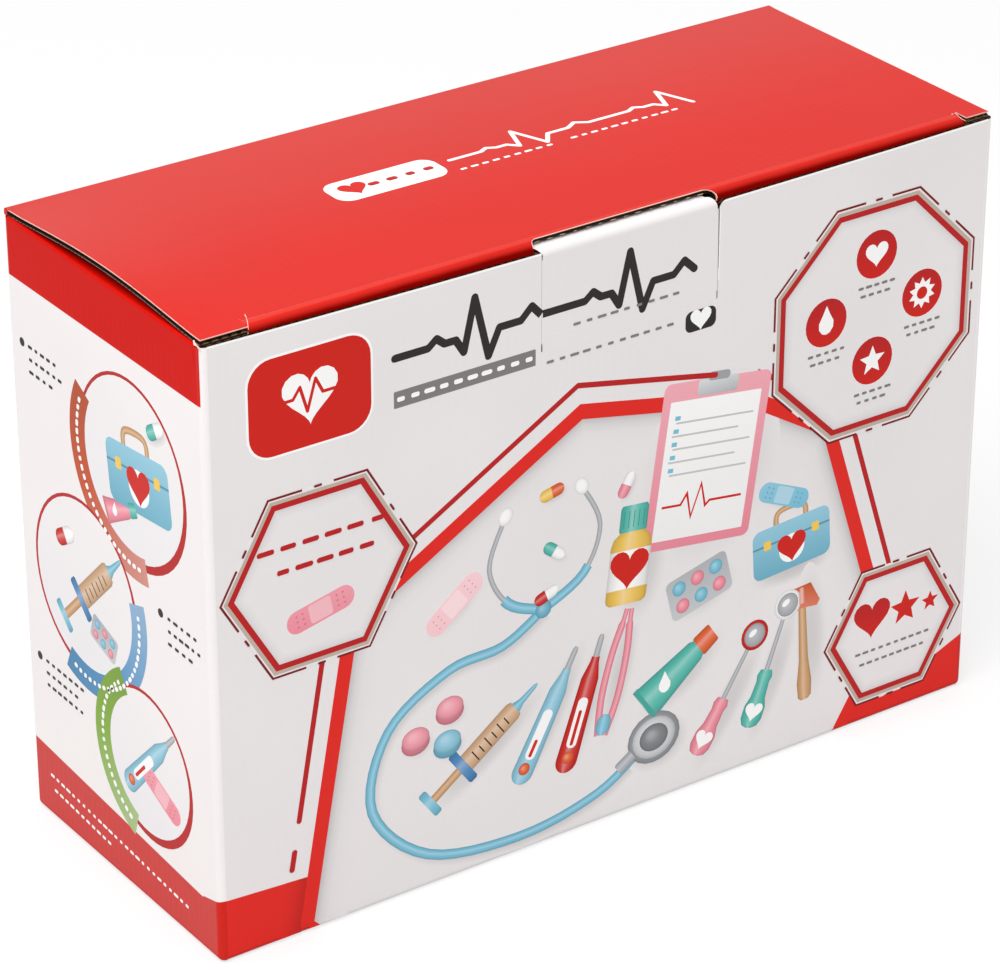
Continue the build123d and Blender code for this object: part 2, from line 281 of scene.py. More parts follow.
def bandRegions():
    slope = (bands["bottomBack"] - bands["bottomFront"]) / bands["span"]
    level = (bands["bottomBack"] + bands["bottomFront"]) / 2
    lean = bands["cornerHigh"] / bands["cornerWidth"]
    onLeft = (leftward, -wall["left"] - bands["sideWrap"])
    onRight = (xAxis, wall["right"] - bands["sideWrap"])
    onFront = (frontward, -wall["front"] - bands["endWrap"])
    onBack = (yAxis, wall["back"] - bands["endWrap"])
    topBand, topEnd = (zAxis, bands["topLow"]), (yAxis, wall["front"] + bands["topWrap"])
    bottomBand, bottomEnd = ((0, slope, -1), -level), (yAxis, wall["front"] + bands["endWrap"])
    return [
        [onLeft, topBand, topEnd],
        [onLeft, bottomBand, bottomEnd],
        [onLeft, ((0, -sideStrip["fall"], -1), -sideStrip["high"]), (frontward, sideStrip["from"])],
        [onRight, topBand, topEnd],
        [onRight, bottomBand, bottomEnd],
        [onBack, topBand],
        [onBack, (downward, -bands["bottomBack"])],
        # the front's left band, its low right corner, and the feet of the frame
        [onFront, ((-bands["frontFall"], 0, -1), -bands["frontHigh"]),
         ((-1, 0, bands["legLean"]), bands["legEdge"])],
        [onFront, ((lean, 0, -1), lean * (wall["right"] - bands["cornerWidth"]))],
        [onFront, ((rightFoot["slope"], 0, -1), rightFoot["reach"]), (downward, -rightFoot["high"]),
         (leftward, -rightFoot["edge"])],
        [onFront, ((-1, 0, -1), leftFoot["reach"]), (xAxis, -leftFoot["edge"])],
    ]


# a sheet's ground and bands, with the red changing by height (pinker towards the foot on the side walls, a
# painted sheen) and more specular sheen towards the foot
def sheetInk(tree, place, height, ground, regions, fade):
    colour, red, specular = inks[ground], inks["red"], gloss["specular"]
    if fade:
        rise = softStep(tree, height, bands["fadeLow"], bands["fadeHigh"])
        red = mixInk(tree, rise, fade["low"], fade["high"])
        if "sheenLow" in fade:
            low, high = specular * fade["sheenLow"], specular * fade["sheenHigh"]
            specular = calc(tree, "MULTIPLY_ADD", rise, high - low, low)
        if ground == "red":
            colour = red
    if regions:
        colour = mixInk(tree, regionShare(tree, place, regions), colour, red)
    return tonedInk(tree, place, colour), specular


# painted shade where the lid rolls down to the front: the red darkens towards the roll's foot, below one
# painted highlight where the roll starts
def rollPaintedShade(tree, height, toned):
    turn = softStep(tree, height, rollLook["low"], rollLook["high"])
    toned = mixInk(tree, turn, mixInk(tree, rollLook["dark"], toned, inks["rollShadeRed"]), toned)
    ridge = calc(tree, "COMPARE", height, rollLook["ridge"], rollLook["ridgeHalf"])
    shine = calc(tree, "MULTIPLY", ridge, rollLook["shine"])
    return mixInk(tree, shine, toned, inks["rollHighlightInk"]), calc(tree, "MULTIPLY", turn, gloss["specular"])


# the cut top edge of the front sheet, turned out a little by the die
def rimInk(tree, split, toned):
    along = calc(tree, "DIVIDE", split[0], frontEdge["half"])
    dip = calc(tree, "MULTIPLY_ADD", calc(tree, "MULTIPLY", along, along), frontEdge["sag"],
               frontEdge["top"] - frontEdge["sag"] - frontEdge["rim"])
    edge = softStep(tree, calc(tree, "SUBTRACT", split[2], dip), -0.1, 0.1)
    return mixInk(tree, edge, toned, inks["rimWhite"])


# white of the paper along the cut edges, torn by the die
def cutEdgeInk(tree, place, toned, border, bareInk):
    torn = softStep(tree, noise(tree, place, 0.7, 3, 0.6), 0.36, 0.5)
    kept = calc(tree, "MULTIPLY_ADD", torn, 0.6, 0.4)
    bare = calc(tree, "MULTIPLY", regionShare(tree, place, border, 0.1), kept)
    return mixInk(tree, bare, toned, bareInk)


# rubbed ink along the outside folds
def rubbedInk(tree, place, split, toned):
    folds = []
    for axis, reach in ((0, wall["right"]), (1, wall["back"])):
        away = calc(tree, "ABSOLUTE", split[axis])
        folds.append(softStep(tree, away, reach - gloss["crackWidth"], reach))
    speck = softStep(tree, noise(tree, place, 0.9, 4, 0.7, (1, 1, 0.6)), 0.6, 0.68)
    crack = calc(tree, "MULTIPLY", calc(tree, "MULTIPLY", *folds), speck)
    return mixInk(tree, calc(tree, "MULTIPLY", crack, 0.8, clamp=True), toned, inks["paper"])


# a flat sheet is printed on its face, a fold on its outside, and neither where it was cut
def printedShare(tree, place, normal, split, outward, ends, core):
    if outward:
        return softStep(tree, calc(tree, "ABSOLUTE", dotWith(tree, normal, outward)), 0.55, 0.8)
    away = vectorCalc(tree, "SUBTRACT", place, boxMiddle).outputs[0]
    printed = softStep(tree, dotWith(tree, normal, away), 1.0, 6.0)
    if ends:
        cut = calc(tree, "ABSOLUTE", dotWith(tree, normal, ends))
        printed = calc(tree, "MULTIPLY", printed, calc(tree, "LESS_THAN", cut, 0.9))
    if core:
        across = calc(tree, "SUBTRACT", split[1], core[0])
        above = calc(tree, "SUBTRACT", split[2], core[1])
        squares = calc(tree, "MULTIPLY_ADD", across, across, calc(tree, "MULTIPLY", above, above))
        outside = calc(tree, "GREATER_THAN", calc(tree, "SQRT", squares), core[2])
        printed = calc(tree, "MULTIPLY", printed, outside)
    return printed


# the raw side of the sheet where the board was cut
def rawBoard(tree, place, normal, outward, ground):
    fibre = noise(tree, place, edgeLook["fibreScale"], 4, 0.65)
    raw = mixInk(tree, fibre, inks["kraftDark"], inks["kraft"])
    if outward:
        return mixInk(tree, 0.75, raw, inks["rawPink"] if ground == "red" else inks["paper"])
    # raw sides that face up painted darker, towards deep shade: painted shade
    upward = softStep(tree, dotWith(tree, normal, zAxis), 0.8, 0.95)
    return mixInk(tree, calc(tree, "MULTIPLY", upward, 0.6), raw, inks["deepShade"])


def fluteWave(tree, place, flutes):
    turns = calc(tree, "MULTIPLY", dotWith(tree, place, flutes), 2 * pi / gloss["flutePitch"])
    return calc(tree, "SINE", turns)


def laminatePeel(tree, place):
    return calc(tree, "MULTIPLY", noise(tree, place, 0.45, 2, 0.5), gloss["peel"])


# flutes showing through the sheet, the peel of the laminate and a slow sag
def sheetBump(tree, place, flutes):
    wave = calc(tree, "MULTIPLY", fluteWave(tree, place, flutes), noise(tree, place, 0.03, 2, 0.5))
    height = calc(tree, "ADD", calc(tree, "MULTIPLY", wave, gloss["fluteShow"]), laminatePeel(tree, place))
    sag = calc(tree, "MULTIPLY", noise(tree, place, 0.02, 1, 0.4), gloss["sag"])
    return bumpOf(tree, calc(tree, "ADD", height, sag))


def printedBoard(name, ground, regions, flutes, outward=None, ends=None, rolled=False, rim=False, core=None,
                 border=None, fade=None):
    material, tree = newMaterial(name)
    normal, place, split = placeInMm(tree)
    toned, specular = sheetInk(tree, place, split[2], ground, regions, fade)
    if rolled:
        toned, specular = rollPaintedShade(tree, split[2], toned)
    if outward == zAxis and border:
        # painted sheen: the red paler towards the far side of the lid
        far = softStep(tree, split[1], lidSheen["from"], lidSheen["to"])
        toned = mixInk(tree, calc(tree, "MULTIPLY", far, lidSheen["share"]), toned, inks["sheenGrey"])
    if rim:
        toned = rimInk(tree, split, toned)
    if border:
        toned = cutEdgeInk(tree, place, toned, border, inks["barePink" if ground == "red" else "bareWhite"])
    if border and ground == "paper":
        # the slit beside the tongue, in its own shadow
        dark = calc(tree, "MULTIPLY", regionShare(tree, place, slitShade, 0.05), 0.8)
        toned = mixInk(tree, dark, toned, inks["slitDark"])
    toned = rubbedInk(tree, place, split, toned)
    printed = printedShare(tree, place, normal, split, outward, ends, core)
    colour = mixInk(tree, printed, rawBoard(tree, place, normal, outward, ground), toned)
    values = {0: printed, 1: 0.0, 2: 1.0, 3: edgeLook["roughness"], 4: gloss["roughness"]}
    roughness = addNode(tree, "ShaderNodeMapRange", values).outputs[0]
    shadeWith(tree, colour, roughness, specular, sheetBump(tree, place, flutes))
    return material


def kraftPaper(name, dark, flutes, outward=None, shade=1.0):
    material, tree = newMaterial(name)
    normal, place = placeInMm(tree)[:2]
    fibre = noise(tree, place, edgeLook["fibreScale"], 5, 0.7, (1, 1, 0.35))
    cloud = calc(tree, "MULTIPLY", noise(tree, place, 0.08, 3, 0.6), 0.5)
    share = calc(tree, "ADD", calc(tree, "MULTIPLY", fibre, 0.7), cloud, clamp=True)
    pulp = mixInk(tree, share, inks["kraftDark"], inks["kraft"])
    colour = pulp if dark else mixInk(tree, share, inks["linerLow"], inks["linerHigh"])
    # cut edges painted darker, towards deep shade: painted shade along the board's edges
    if outward:
        flat = softStep(tree, calc(tree, "ABSOLUTE", dotWith(tree, normal, outward)), 0.5, 0.8)
        colour = mixInk(tree, flat, mixInk(tree, 0.62, pulp, inks["deepShade"]), colour)
    flecks = softStep(tree, noise(tree, place, 2.6, 2, 0.5, (1, 1, 0.25)), 0.66, 0.72)
    colour = mixInk(tree, calc(tree, "MULTIPLY", flecks, 0.5), colour, inks["fleck"])
    # painted shade: the whole colour pulled towards deep shade
    if shade < 1:
        colour = mixInk(tree, 1 - shade, colour, inks["deepShade"])
    wave = calc(tree, "MULTIPLY", fluteWave(tree, place, flutes), 0.07)
    height = calc(tree, "ADD", wave, calc(tree, "MULTIPLY", fibre, 0.12))
    specular = edgeLook["kraftSpecular"] * shade
    shadeWith(tree, colour, edgeLook["roughness"], specular, bumpOf(tree, height, 0.8))
    return material


# one plain ink over a whole small piece; with the last flag it gets the lid's painted sheen, paler where it
# faces up
def flatInk(name, colour, shine=1.0, sheened=False):
    material, tree = newMaterial(name)
    normal, place = placeInMm(tree)[:2]
    if sheened:
        upward = softStep(tree, dotWith(tree, normal, zAxis), 0.2, 0.95)
        share = calc(tree, "MULTIPLY", upward, lidSheen["foldShare"])
        colour = mixInk(tree, share, colour, inks["sheenGrey"])
    bump = bumpOf(tree, laminatePeel(tree, place))
    shadeWith(tree, tonedInk(tree, place, colour), gloss["roughness"], gloss["specular"] * shine, bump)
    return material


# the picture's own colours, point by point
def pictureInk():
    material, tree = newMaterial("printing ink")
    place = placeInMm(tree)[1]
    picture = addNode(tree, "ShaderNodeAttribute", attribute_name="ink").outputs["Color"]
    bump = bumpOf(tree, laminatePeel(tree, place))
    shadeWith(tree, tonedInk(tree, place, picture), gloss["roughness"], gloss["specular"], bump)
    return material


carton = bandRegions()
# the walls' red by height: on the side walls pinker towards the foot, a painted sheen, with specular sheen
# shares; on the front a little lighter towards the foot
redsByHeight = {
    "front": {"low": ink(224, 38, 30), "high": ink(206, 32, 22)},
    "side": {"low": ink(204, 52, 46), "high": ink(206, 14, 4), "sheenLow": 1.5, "sheenHigh": 0.35},
}
finishes = {
    "wallFrontBack": printedBoard("wall front and back print", "paper", carton, xAxis, outward=yAxis,
                                  rim=True, border=slitSides, fade=redsByHeight["front"]),
    "wallSides": printedBoard("side wall print", "sidePaperLit", carton, yAxis, outward=xAxis,
                              fade=redsByHeight["side"]),
    "lidTop": printedBoard("lid print", "red", None, xAxis, outward=zAxis, border=lidBorder()),
    "tuckPrint": printedBoard("tuck flap print", "red", None, xAxis, outward=yAxis),
    "dustPrint": printedBoard("dust flap print", "red", None, yAxis, outward=zAxis, fade=redsByHeight["side"]),
    "cornerFold": printedBoard("corner fold", "sidePaperLit", carton, zAxis, ends=zAxis),
    "crossFold": printedBoard("fold along the front", "red", None, xAxis, ends=xAxis, rolled=True),
    "sideFold": printedBoard("fold along the side", "red", None, yAxis, ends=yAxis, fade=redsByHeight["side"]),
    "tongueFold": printedBoard("tongue fold", "paper", None, xAxis, ends=xAxis, core=(-55.0, 209.4, 2.9)),
    "bottomBoard": printedBoard("bottom board", "paper", carton, xAxis),
    "fluting": kraftPaper("fluted medium", True, zAxis),
    # flutes in the closed joints, painted dark as shade
    "flutingShut": kraftPaper("fluted medium in painted shade", True, zAxis, shade=0.2),
    "linerFrontBack": kraftPaper("kraft liner front and back", False, xAxis, yAxis),
    "linerSides": kraftPaper("kraft liner sides", False, yAxis, xAxis),
    "linerLid": kraftPaper("kraft liner of the lid", False, xAxis, zAxis),
    "glueBoard": kraftPaper("glue flap board", False, yAxis),
    "ink": pictureInk(),
    "redSkin": flatInk("red skin", inks["red"]),
    "paperSkin": flatInk("paper skin", inks["paper"]),
    "sideSkin": flatInk("side fold skin", redsByHeight["side"]["high"], 0.35),
    "backSkin": flatInk("back fold skin", inks["red"], sheened=True),
    "paperEdge": flatInk("cut edge of the sheet", inks["cutPink"]),
}
for name in ("darkRed", "maroon", "grey", "charcoal", "white", "kraftPale"):
    finishes[name + "Marks"] = flatInk(name + " marks", inks[name])


def finishFor(name):
    # the flutes of the lid's left edge and of the front wall's top get the fluting painted dark as shade
    if name in ("lid_fluting_left", "front_panel_fluting_left", "front_panel_fluting_right"):
        return "flutingShut"
    if "fluting" in name:
        return "fluting"
    if name.startswith("lid_liner") or "dust_flap_liner" in name:
        return "linerLid"
    if name.endswith("liner"):
        return "linerSides" if name.startswith(("left", "right")) else "linerFrontBack"
    if name.endswith("print_sheet"):
        if name.startswith("lid"):
            return "lidTop"
        if name.startswith("tuck"):
            return "tuckPrint"
        if "dust_flap" in name:
            return "dustPrint"
        return "wallSides" if name.startswith(("left", "right")) else "wallFrontBack"
    if name.startswith("lock_tongue") or name == "tongue_foot_crease":
        return "tongueFold"
    if name in ("lid_crease", "left_tuck_crease", "right_tuck_crease"):
        return "crossFold"
    if "dust_crease" in name:
        return "sideFold"
    if "corner_crease" in name or name == "glue_flap_crease":
        return "cornerFold"
    if name == "glue_flap":
        return "glueBoard"
    return "bottomBoard"


for name, node in nodes.items():
    node.material_slots[0].material = finishes[finishFor(name)]
print("board finishes on", len(nodes), "nodes")


def facesOutward(mesh):
    work = bmesh.new()
    work.from_mesh(mesh)
    bmesh.ops.recalc_face_normals(work, faces=work.faces)
    work.to_mesh(mesh)
    work.free()


def solidPiece(name, verts, faces, finish):
    mesh = bpy.data.meshes.new(name)
    mesh.from_pydata(verts, [], faces)
    mesh.materials.append(finishes[finish])
    facesOutward(mesh)
    return addObject(name, mesh)


# Printed pictures
panels = {
    "front": {"origin": (0, wall["front"], 0), "u": xAxis, "v": zAxis, "n": frontward},
    "left": {"origin": (wall["left"], 0, 0), "u": frontward, "v": zAxis, "n": leftward},
    "lid": {"origin": (0, 0, wall["top"]), "u": xAxis, "v": yAxis, "n": zAxis},
}
inkFilm = {"foot": 1.3, "step": 0.0027, "shift": 0.0007, "ground": 0.03, "sink": 0.05, "smooth": 6}


def startPrint(panel):
    return {"panel": panels[panel], "verts": [], "faces": [], "inks": [], "base": 0.0, "top": 0.0, "under": 0}


# what is drawn next gets its own height; with over it lies on all that is there
def nextPicture(sheet, over=False):
    sheet["base"] = sheet["top"] if over else sheet["base"] + inkFilm["shift"]


# soft tones of the ground lie under all pictures, each on its own height
def underHeight(sheet):
    sheet["under"] += 1
    return (sheet["under"] * 0.001 - sheet["base"]) / inkFilm["step"]


def filmHeight(sheet, level):
    height = sheet["base"] + level * inkFilm["step"]
    sheet["top"] = max(sheet["top"], height)
    return height


def onPanel(panel, u, v, height):
    spots = zip(panel["origin"], panel["u"], panel["v"], panel["n"])
    return tuple((o + u * a + v * b + height * n) * mm for o, a, b, n in spots)


def addPoint(sheet, u, v, height, colour):
    sheet["verts"].append(onPanel(sheet["panel"], u, v, height))
    sheet["inks"].append((*colour, 1))
    return len(sheet["verts"]) - 1


def layPatch(sheet, rows, colours, level, closed=False):
    high, low = filmHeight(sheet, level), -inkFilm["sink"]
    top, under = [[[addPoint(sheet, u, v, height, colour) for (u, v), colour in zip(row, tones)]
                   for row, tones in zip(rows, colours)] for height in (high, low)]
    count, wide = len(rows), len(rows[0])
    turns = range(count if closed else count - 1)
    for i in turns:
        j = (i + 1) % count
        for k in range(wide - 1):
            sheet["faces"].append((top[i][k], top[i][k + 1], top[j][k + 1], top[j][k]))
            sheet["faces"].append((under[i][k], under[j][k], under[j][k + 1], under[i][k + 1]))
        for k in (0, wide - 1):
            sheet["faces"].append((top[i][k], top[j][k], under[j][k], under[i][k]))
    if not closed:
        for i in (0, count - 1):
            for k in range(wide - 1):
                sheet["faces"].append((top[i][k], under[i][k], under[i][k + 1], top[i][k + 1]))


def layShape(sheet, points, colour, level, second=None, direction=(0, 1)):
    second = second or colour
    reach = [u * direction[0] + v * direction[1] for u, v in points]
    low, size = min(reach), max(max(reach) - min(reach), 1e-6)
    tones = [mixed(colour, second, (r - low) / size) for r in reach]
    high = filmHeight(sheet, level)
    top = [addPoint(sheet, u, v, high, c) for (u, v), c in zip(points, tones)]
    under = [addPoint(sheet, u, v, -inkFilm["sink"], c) for (u, v), c in zip(points, tones)]
    sheet["faces"].append(tuple(top))
    sheet["faces"].append(tuple(reversed(under)))
    for i in range(len(points)):
        j = (i + 1) % len(points)
        sheet["faces"].append((top[i], under[i], under[j], top[j]))


def mixed(a, b, share):
    return tuple(x + (y - x) * share for x, y in zip(a, b))


def shaded(colour, amount):
    if amount <= 1:
        return tuple(c * amount for c in colour)
    return mixed(colour, (1, 1, 1), min(1, amount - 1))


def turnedTo(spot, u, v):
    x, y, angle, size = spot
    a = radians(angle)
    return x + size * (u * cos(a) - v * sin(a)), y + size * (u * sin(a) + v * cos(a))


def movedSpot(spot, u, v):
    return *turnedTo(spot, u, v), spot[2], spot[3]


def smoothLine(points, closed=False, steps=None):
    steps = steps or inkFilm["smooth"]
    count = len(points)
    line = []
    for i in range(count if closed else count - 1):
        around = [(i - 1) % count, i, (i + 1) % count, (i + 2) % count]
        if not closed:
            around = [min(max(i + k, 0), count - 1) for k in (-1, 0, 1, 2)]
        a, b, c, d = (points[k] for k in around)
        for step in range(steps):
            t = step / steps
            line.append(tuple(
                0.5 * (2 * q + (r - p) * t + (2 * p - 5 * q + 4 * r - s) * t * t
                       + (3 * q - p - 3 * r + s) * t ** 3) for p, q, r, s in zip(a, b, c, d)))
    if not closed:
        line.append(points[-1])
    return line


def layLine(sheet, points, width, colour, level, closed=False, across=((-1, 1.0), (1, 1.0))):
    count = len(points)
    rows = []
    for i, (u, v) in enumerate(points):
        before = points[i - 1] if closed or i else points[i]
        after = points[(i + 1) % count] if closed or i < count - 1 else points[i]
        inLine = Vector((u - before[0], v - before[1]))
        outLine = Vector((after[0] - u, after[1] - v))
        inLine = inLine.normalized() if inLine.length else outLine.normalized()
        outLine = outLine.normalized() if outLine.length else inLine
        along = (inLine + outLine).normalized()
        side = Vector((-along.y, along.x))
        stretch = 1 / max(0.4, side.dot(Vector((-inLine.y, inLine.x))))
        half = width[i] / 2 if isinstance(width, list) else width / 2
        rows.append([(u - side.x * half * k * stretch, v - side.y * half * k * stretch)
                     for k, tone in across])
    tones = [[shaded(colour, tone) for k, tone in across]] * count
    layPatch(sheet, rows, tones, level, closed)


roundShade = ((-1, 0.6), (-0.8, 0.82), (-0.3, 1.04), (0.15, 1.22), (0.45, 1.02), (0.85, 0.8), (1, 0.62))


def layTube(sheet, points, width, colour, level, closed=False):
    layLine(sheet, points, width, colour, level, closed, roundShade)


# a turned toy part: (distance along, half width) pairs, shaded as if lit from one side
def layTurned(sheet, spot, profile, colour, level):
    rows = [[turnedTo(spot, s, k * r) for k, tone in roundShade] for s, r in profile]
    tones = [[shaded(colour, tone) for k, tone in roundShade]] * len(profile)
    layPatch(sheet, rows, tones, level)


def roundEnds(length, half, steps=5):
    arc = [pi / 2 * i / steps for i in range(steps + 1)]
    start = [(half * (1 - cos(a)), max(0.05, half * sin(a))) for a in arc]
    return start + [(length - s, r) for s, r in reversed(start)]


def ring(x, y, radius, tall=None, angle=0, count=28):
    tall = tall or radius
    turns = [2 * pi * i / count for i in range(count)]
    return [turnedTo((x, y, angle, 1), radius * cos(a), tall * sin(a)) for a in turns]


def layBall(sheet, x, y, radius, colour, level, tall=None, angle=0):
    shares = ((1, 0.66), (0.86, 0.86), (0.55, 1.02), (0.18, 1.2))
    rows = []
    for share, tone in shares:
        shift = (1 - share) * 0.25 * radius
        rows.append(ring(x - shift, y + shift, radius * share, (tall or radius) * share, angle, 20))
    turned = [list(row) for row in zip(*rows)]
    tones = [[shaded(colour, tone) for share, tone in shares]] * len(turned)
    layPatch(sheet, turned, tones, level, True)
    layShape(sheet, rows[-1], shaded(colour, 1.2), level)


def roundedPlate(spot, wide, high, corner, steps=7):
    points = []
    for x, y, start in ((1, 1, 0), (-1, 1, 90), (-1, -1, 180), (1, -1, 270)):
        for i in range(steps + 1):
            a = radians(start + 90 * i / steps)
            u, v = x * (wide / 2 - corner), y * (high / 2 - corner)
            points.append(turnedTo(spot, u + corner * cos(a), v + corner * sin(a)))
    return points


def layPlate(sheet, spot, wide, high, corner, colour, level, second=None):
    layShape(sheet, roundedPlate(spot, wide, high, corner), colour, level, second)


def layShadow(sheet, x, y, wide, tall, angle=0, depth=0.3):
    shares = (1, 0.8, 0.55, 0.2)
    rows = [ring(x, y, wide * s, tall * s, angle, 24) for s in shares]
    tones = [mixed(inks["paper"], shaded(inks["paper"], 1 - depth), t) for t in (0, 0.25, 0.7, 1)]
    turned = [list(row) for row in zip(*rows)]
    level = underHeight(sheet)
    layPatch(sheet, turned, [tones] * len(turned), level, True)
    layShape(sheet, rows[-1], tones[-1], level)


# a stroke with round joints and ends
def layStroke(sheet, points, width, colour, level):
    for i in range(len(points) - 1):
        layLine(sheet, points[i:i + 2], width, colour, level + 0.3 * (i % 2))
    for u, v in points:
        layShape(sheet, ring(u, v, width / 2, count=14), colour, level + 0.6)


def heartShape(x, y, size, angle=0):
    points = []
    for i in range(30):
        t = 2 * pi * i / 30
        points.append(turnedTo((x, y, angle, size / 17), 16 * sin(t) ** 3,
                               13 * cos(t) - 5 * cos(2 * t) - 2 * cos(3 * t) - cos(4 * t) + 2.5))
    return points[::-1]


def starShape(x, y, size, points=5, inner=0.45):
    star = []
    for i in range(2 * points):
        reach, a = size * (inner if i % 2 else 1), pi * i / points
        star.append(turnedTo((x, y, 90, 1), reach * cos(a), reach * sin(a)))
    return star


def dropShape(x, y, size):
    side = [(0, 1.25), (0.3, 0.62), (0.62, 0.05), (0.6, -0.42), (0.32, -0.78), (0, -0.88)]
    right = [(x + size * u, y + size * v) for u, v in side]
    left = [(x - size * u, y + size * v) for u, v in side[1:-1]]
    return [right[0]] + left + [right[-1]] + right[1:-1][::-1]


def regular(x, y, radius, sides, angle):
    turns = [2 * pi * i / sides for i in range(sides)]
    return [turnedTo((x, y, angle, radius), cos(a), sin(a)) for a in turns]


def finishPrint(sheet, name, body):
    low = inkFilm["foot"] * mm
    verts = [(x, y, max(z, low)) for x, y, z in sheet["verts"]]
    piece = solidPiece(name, verts, sheet["faces"], "ink")
    layer = piece.data.color_attributes.new("ink", "FLOAT_COLOR", "POINT")
    layer.data.foreach_set("color", [value for colour in sheet["inks"] for value in colour])
    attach(piece, body)


# the pulse line that stands where a title would
pulse = [(0, 0), (12, 0), (15, 2.5), (18, 0), (22, 0), (25, -5), (29, 13), (34, -9), (38, 0), (46, 0),
         (50, 4), (54, 0)]


def pulseRow(left, level, repeats, tall=1.0):
    return [(left + turn * 58 + u, level + v * tall) for turn in range(repeats) for u, v in pulse]


# Toy pictures: each is drawn in its own frame, then put at spot = (x, y, angle, size)
def layPill(sheet, spot, length, wide, first, second, level):
    nextPicture(sheet)
    x, y, angle, size = spot
    layShadow(sheet, x + 1, y - 1.4, length * 0.62 * size, wide * 0.62 * size, angle, 0.18)
    half = wide / 2
    body = roundEnds(length, half)
    middle = len(body) // 2
    start = movedSpot(spot, -length / 2, 0)
    layTurned(sheet, start, body[:middle] + [(length / 2, half)], first, level)
    layTurned(sheet, start, [(length / 2, half)] + body[middle:], second, level)


# the soft shadow of a long toy, a little way along it and to its side
def layLongShadow(sheet, spot, along, aside, length, wide, depth):
    size = spot[3]
    layShadow(sheet, *turnedTo(spot, along, aside), length * size, wide * size, spot[2], depth)


def drawSyringe(sheet, spot, shadows=True):
    nextPicture(sheet)
    if shadows:
        layLongShadow(sheet, spot, 24, -3, 26, 6, 0.22)
    layTurned(sheet, spot, [(0, 4.6), (0.5, 5.2), (2.4, 5.2), (2.9, 4.6)], inks["sky"], 3)
    layTurned(sheet, spot, [(2.8, 1.5), (14.2, 1.5)], inks["wood"], 2)
    layTurned(sheet, spot, [(14, 6.2), (14.6, 6.8), (16.6, 6.8), (17.2, 6.2)], inks["deepBlue"], 4)
    layTurned(sheet, spot, [(17, 3.6), (37, 3.6), (38.5, 2.9)], shaded(inks["wood"], 1.1), 3)
    layTurned(sheet, spot, [(38.4, 2.2), (41, 1.2), (47, 0.7), (48, 0.3)], inks["sky"], 4)
    for mark in range(6):
        place = movedSpot(spot, 20.5 + 2.7 * mark, -0.8)
        layPlate(sheet, place, 0.45, 3.2 if mark % 2 else 4.4, 0.1, inks["charcoal"], 5)


def drawThermometer(sheet, spot, colour, filled, shadows=True):
    nextPicture(sheet)
    if shadows:
        layLongShadow(sheet, spot, 22, -1.5, 25, 5.4, 0.22)
    body = [(s, r) for s, r in roundEnds(34, 3.9) if s < 30] + [(30, 3.2), (35, 1.7), (37, 1.4)]
    layTurned(sheet, spot, body, colour, 2)
    layTurned(sheet, spot, [(36.8, 1.1), (43, 1.0), (44, 0.5)], inks["chrome"], 3)
    layPlate(sheet, movedSpot(spot, 16, 0), 16, 3.6, 1.6, inks["white"], 4)
    layPlate(sheet, movedSpot(spot, 8.8 + filled * 7, 0), filled * 14, 1.2, 0.5, inks["red"], 5)
    layBall(sheet, *turnedTo(spot, 5, 0), 2.0 * spot[3], inks["orange"], 5)


def drawTweezers(sheet, spot):
    nextPicture(sheet)
    layLongShadow(sheet, spot, 20, -2, 24, 5, 0.2)
    size = spot[3]
    for side in (-1, 1):
        arm = ((0, 0.4), (12, 2.2), (26, 2.0), (36, 0.6), (41, 0.1))
        line = smoothLine([turnedTo(spot, s, side * (0.8 + bend)) for s, bend in arm])
        widths = [2.6 * size] * (len(line) - 6) + [1.7 * size] * 6
        layTube(sheet, line, widths, inks["pink"], 2 + (side > 0))
    layTurned(sheet, spot, roundEnds(7, 2.6), inks["sky"], 4)


def drawHammer(sheet, spot):
    nextPicture(sheet)
    layLongShadow(sheet, spot, 22, -3, 24, 6, 0.2)
    layTurned(sheet, spot, [(0, 1.2), (1, 2.4), (6, 2.7), (14, 1.7), (34, 1.3)], inks["wood"], 2)
    corners = [(32, 6.6), (39, 3.4), (39, -3.4), (32, -6.6), (30.5, -5.4), (31.5, 0), (30.5, 5.4)]
    head = [turnedTo(spot, u, v) for u, v in corners][::-1]
    layShape(sheet, head, shaded(inks["orange"], 1.15), 3, shaded(inks["orange"], 0.72), (0.3, 1))
    layTurned(sheet, spot, [(33, 1.0), (38.4, 0.8)], shaded(inks["orange"], 1.3), 4)


def drawMirror(sheet, spot, handle, rim):
    nextPicture(sheet)
    layLongShadow(sheet, spot, 18, -3, 24, 5.5, 0.2)
    size = spot[3]
    grip = [(0, 1.0), (0.8, 3.0), (3, 4.1), (7, 4.1), (10, 2.9), (15, 2.5), (17, 3.0), (19, 2.2)]
    layTurned(sheet, spot, grip, handle, 2)
    layTurned(sheet, spot, [(18.8, 0.9), (36, 0.75)], inks["chrome"], 3)
    x, y = turnedTo(spot, 40, 0)
    layBall(sheet, x, y, 5.0 * size, rim, 4)
    layBall(sheet, x, y, 3.9 * size, inks["chrome"], 5)
    layShape(sheet, ring(x - 0.8, y + 0.9, 1.8, 1.1, 30, 12), inks["white"], 6)
    layShape(sheet, heartShape(*turnedTo(spot, 5, 0), 3.6 * size, spot[2] - 90), inks["white"], 4)


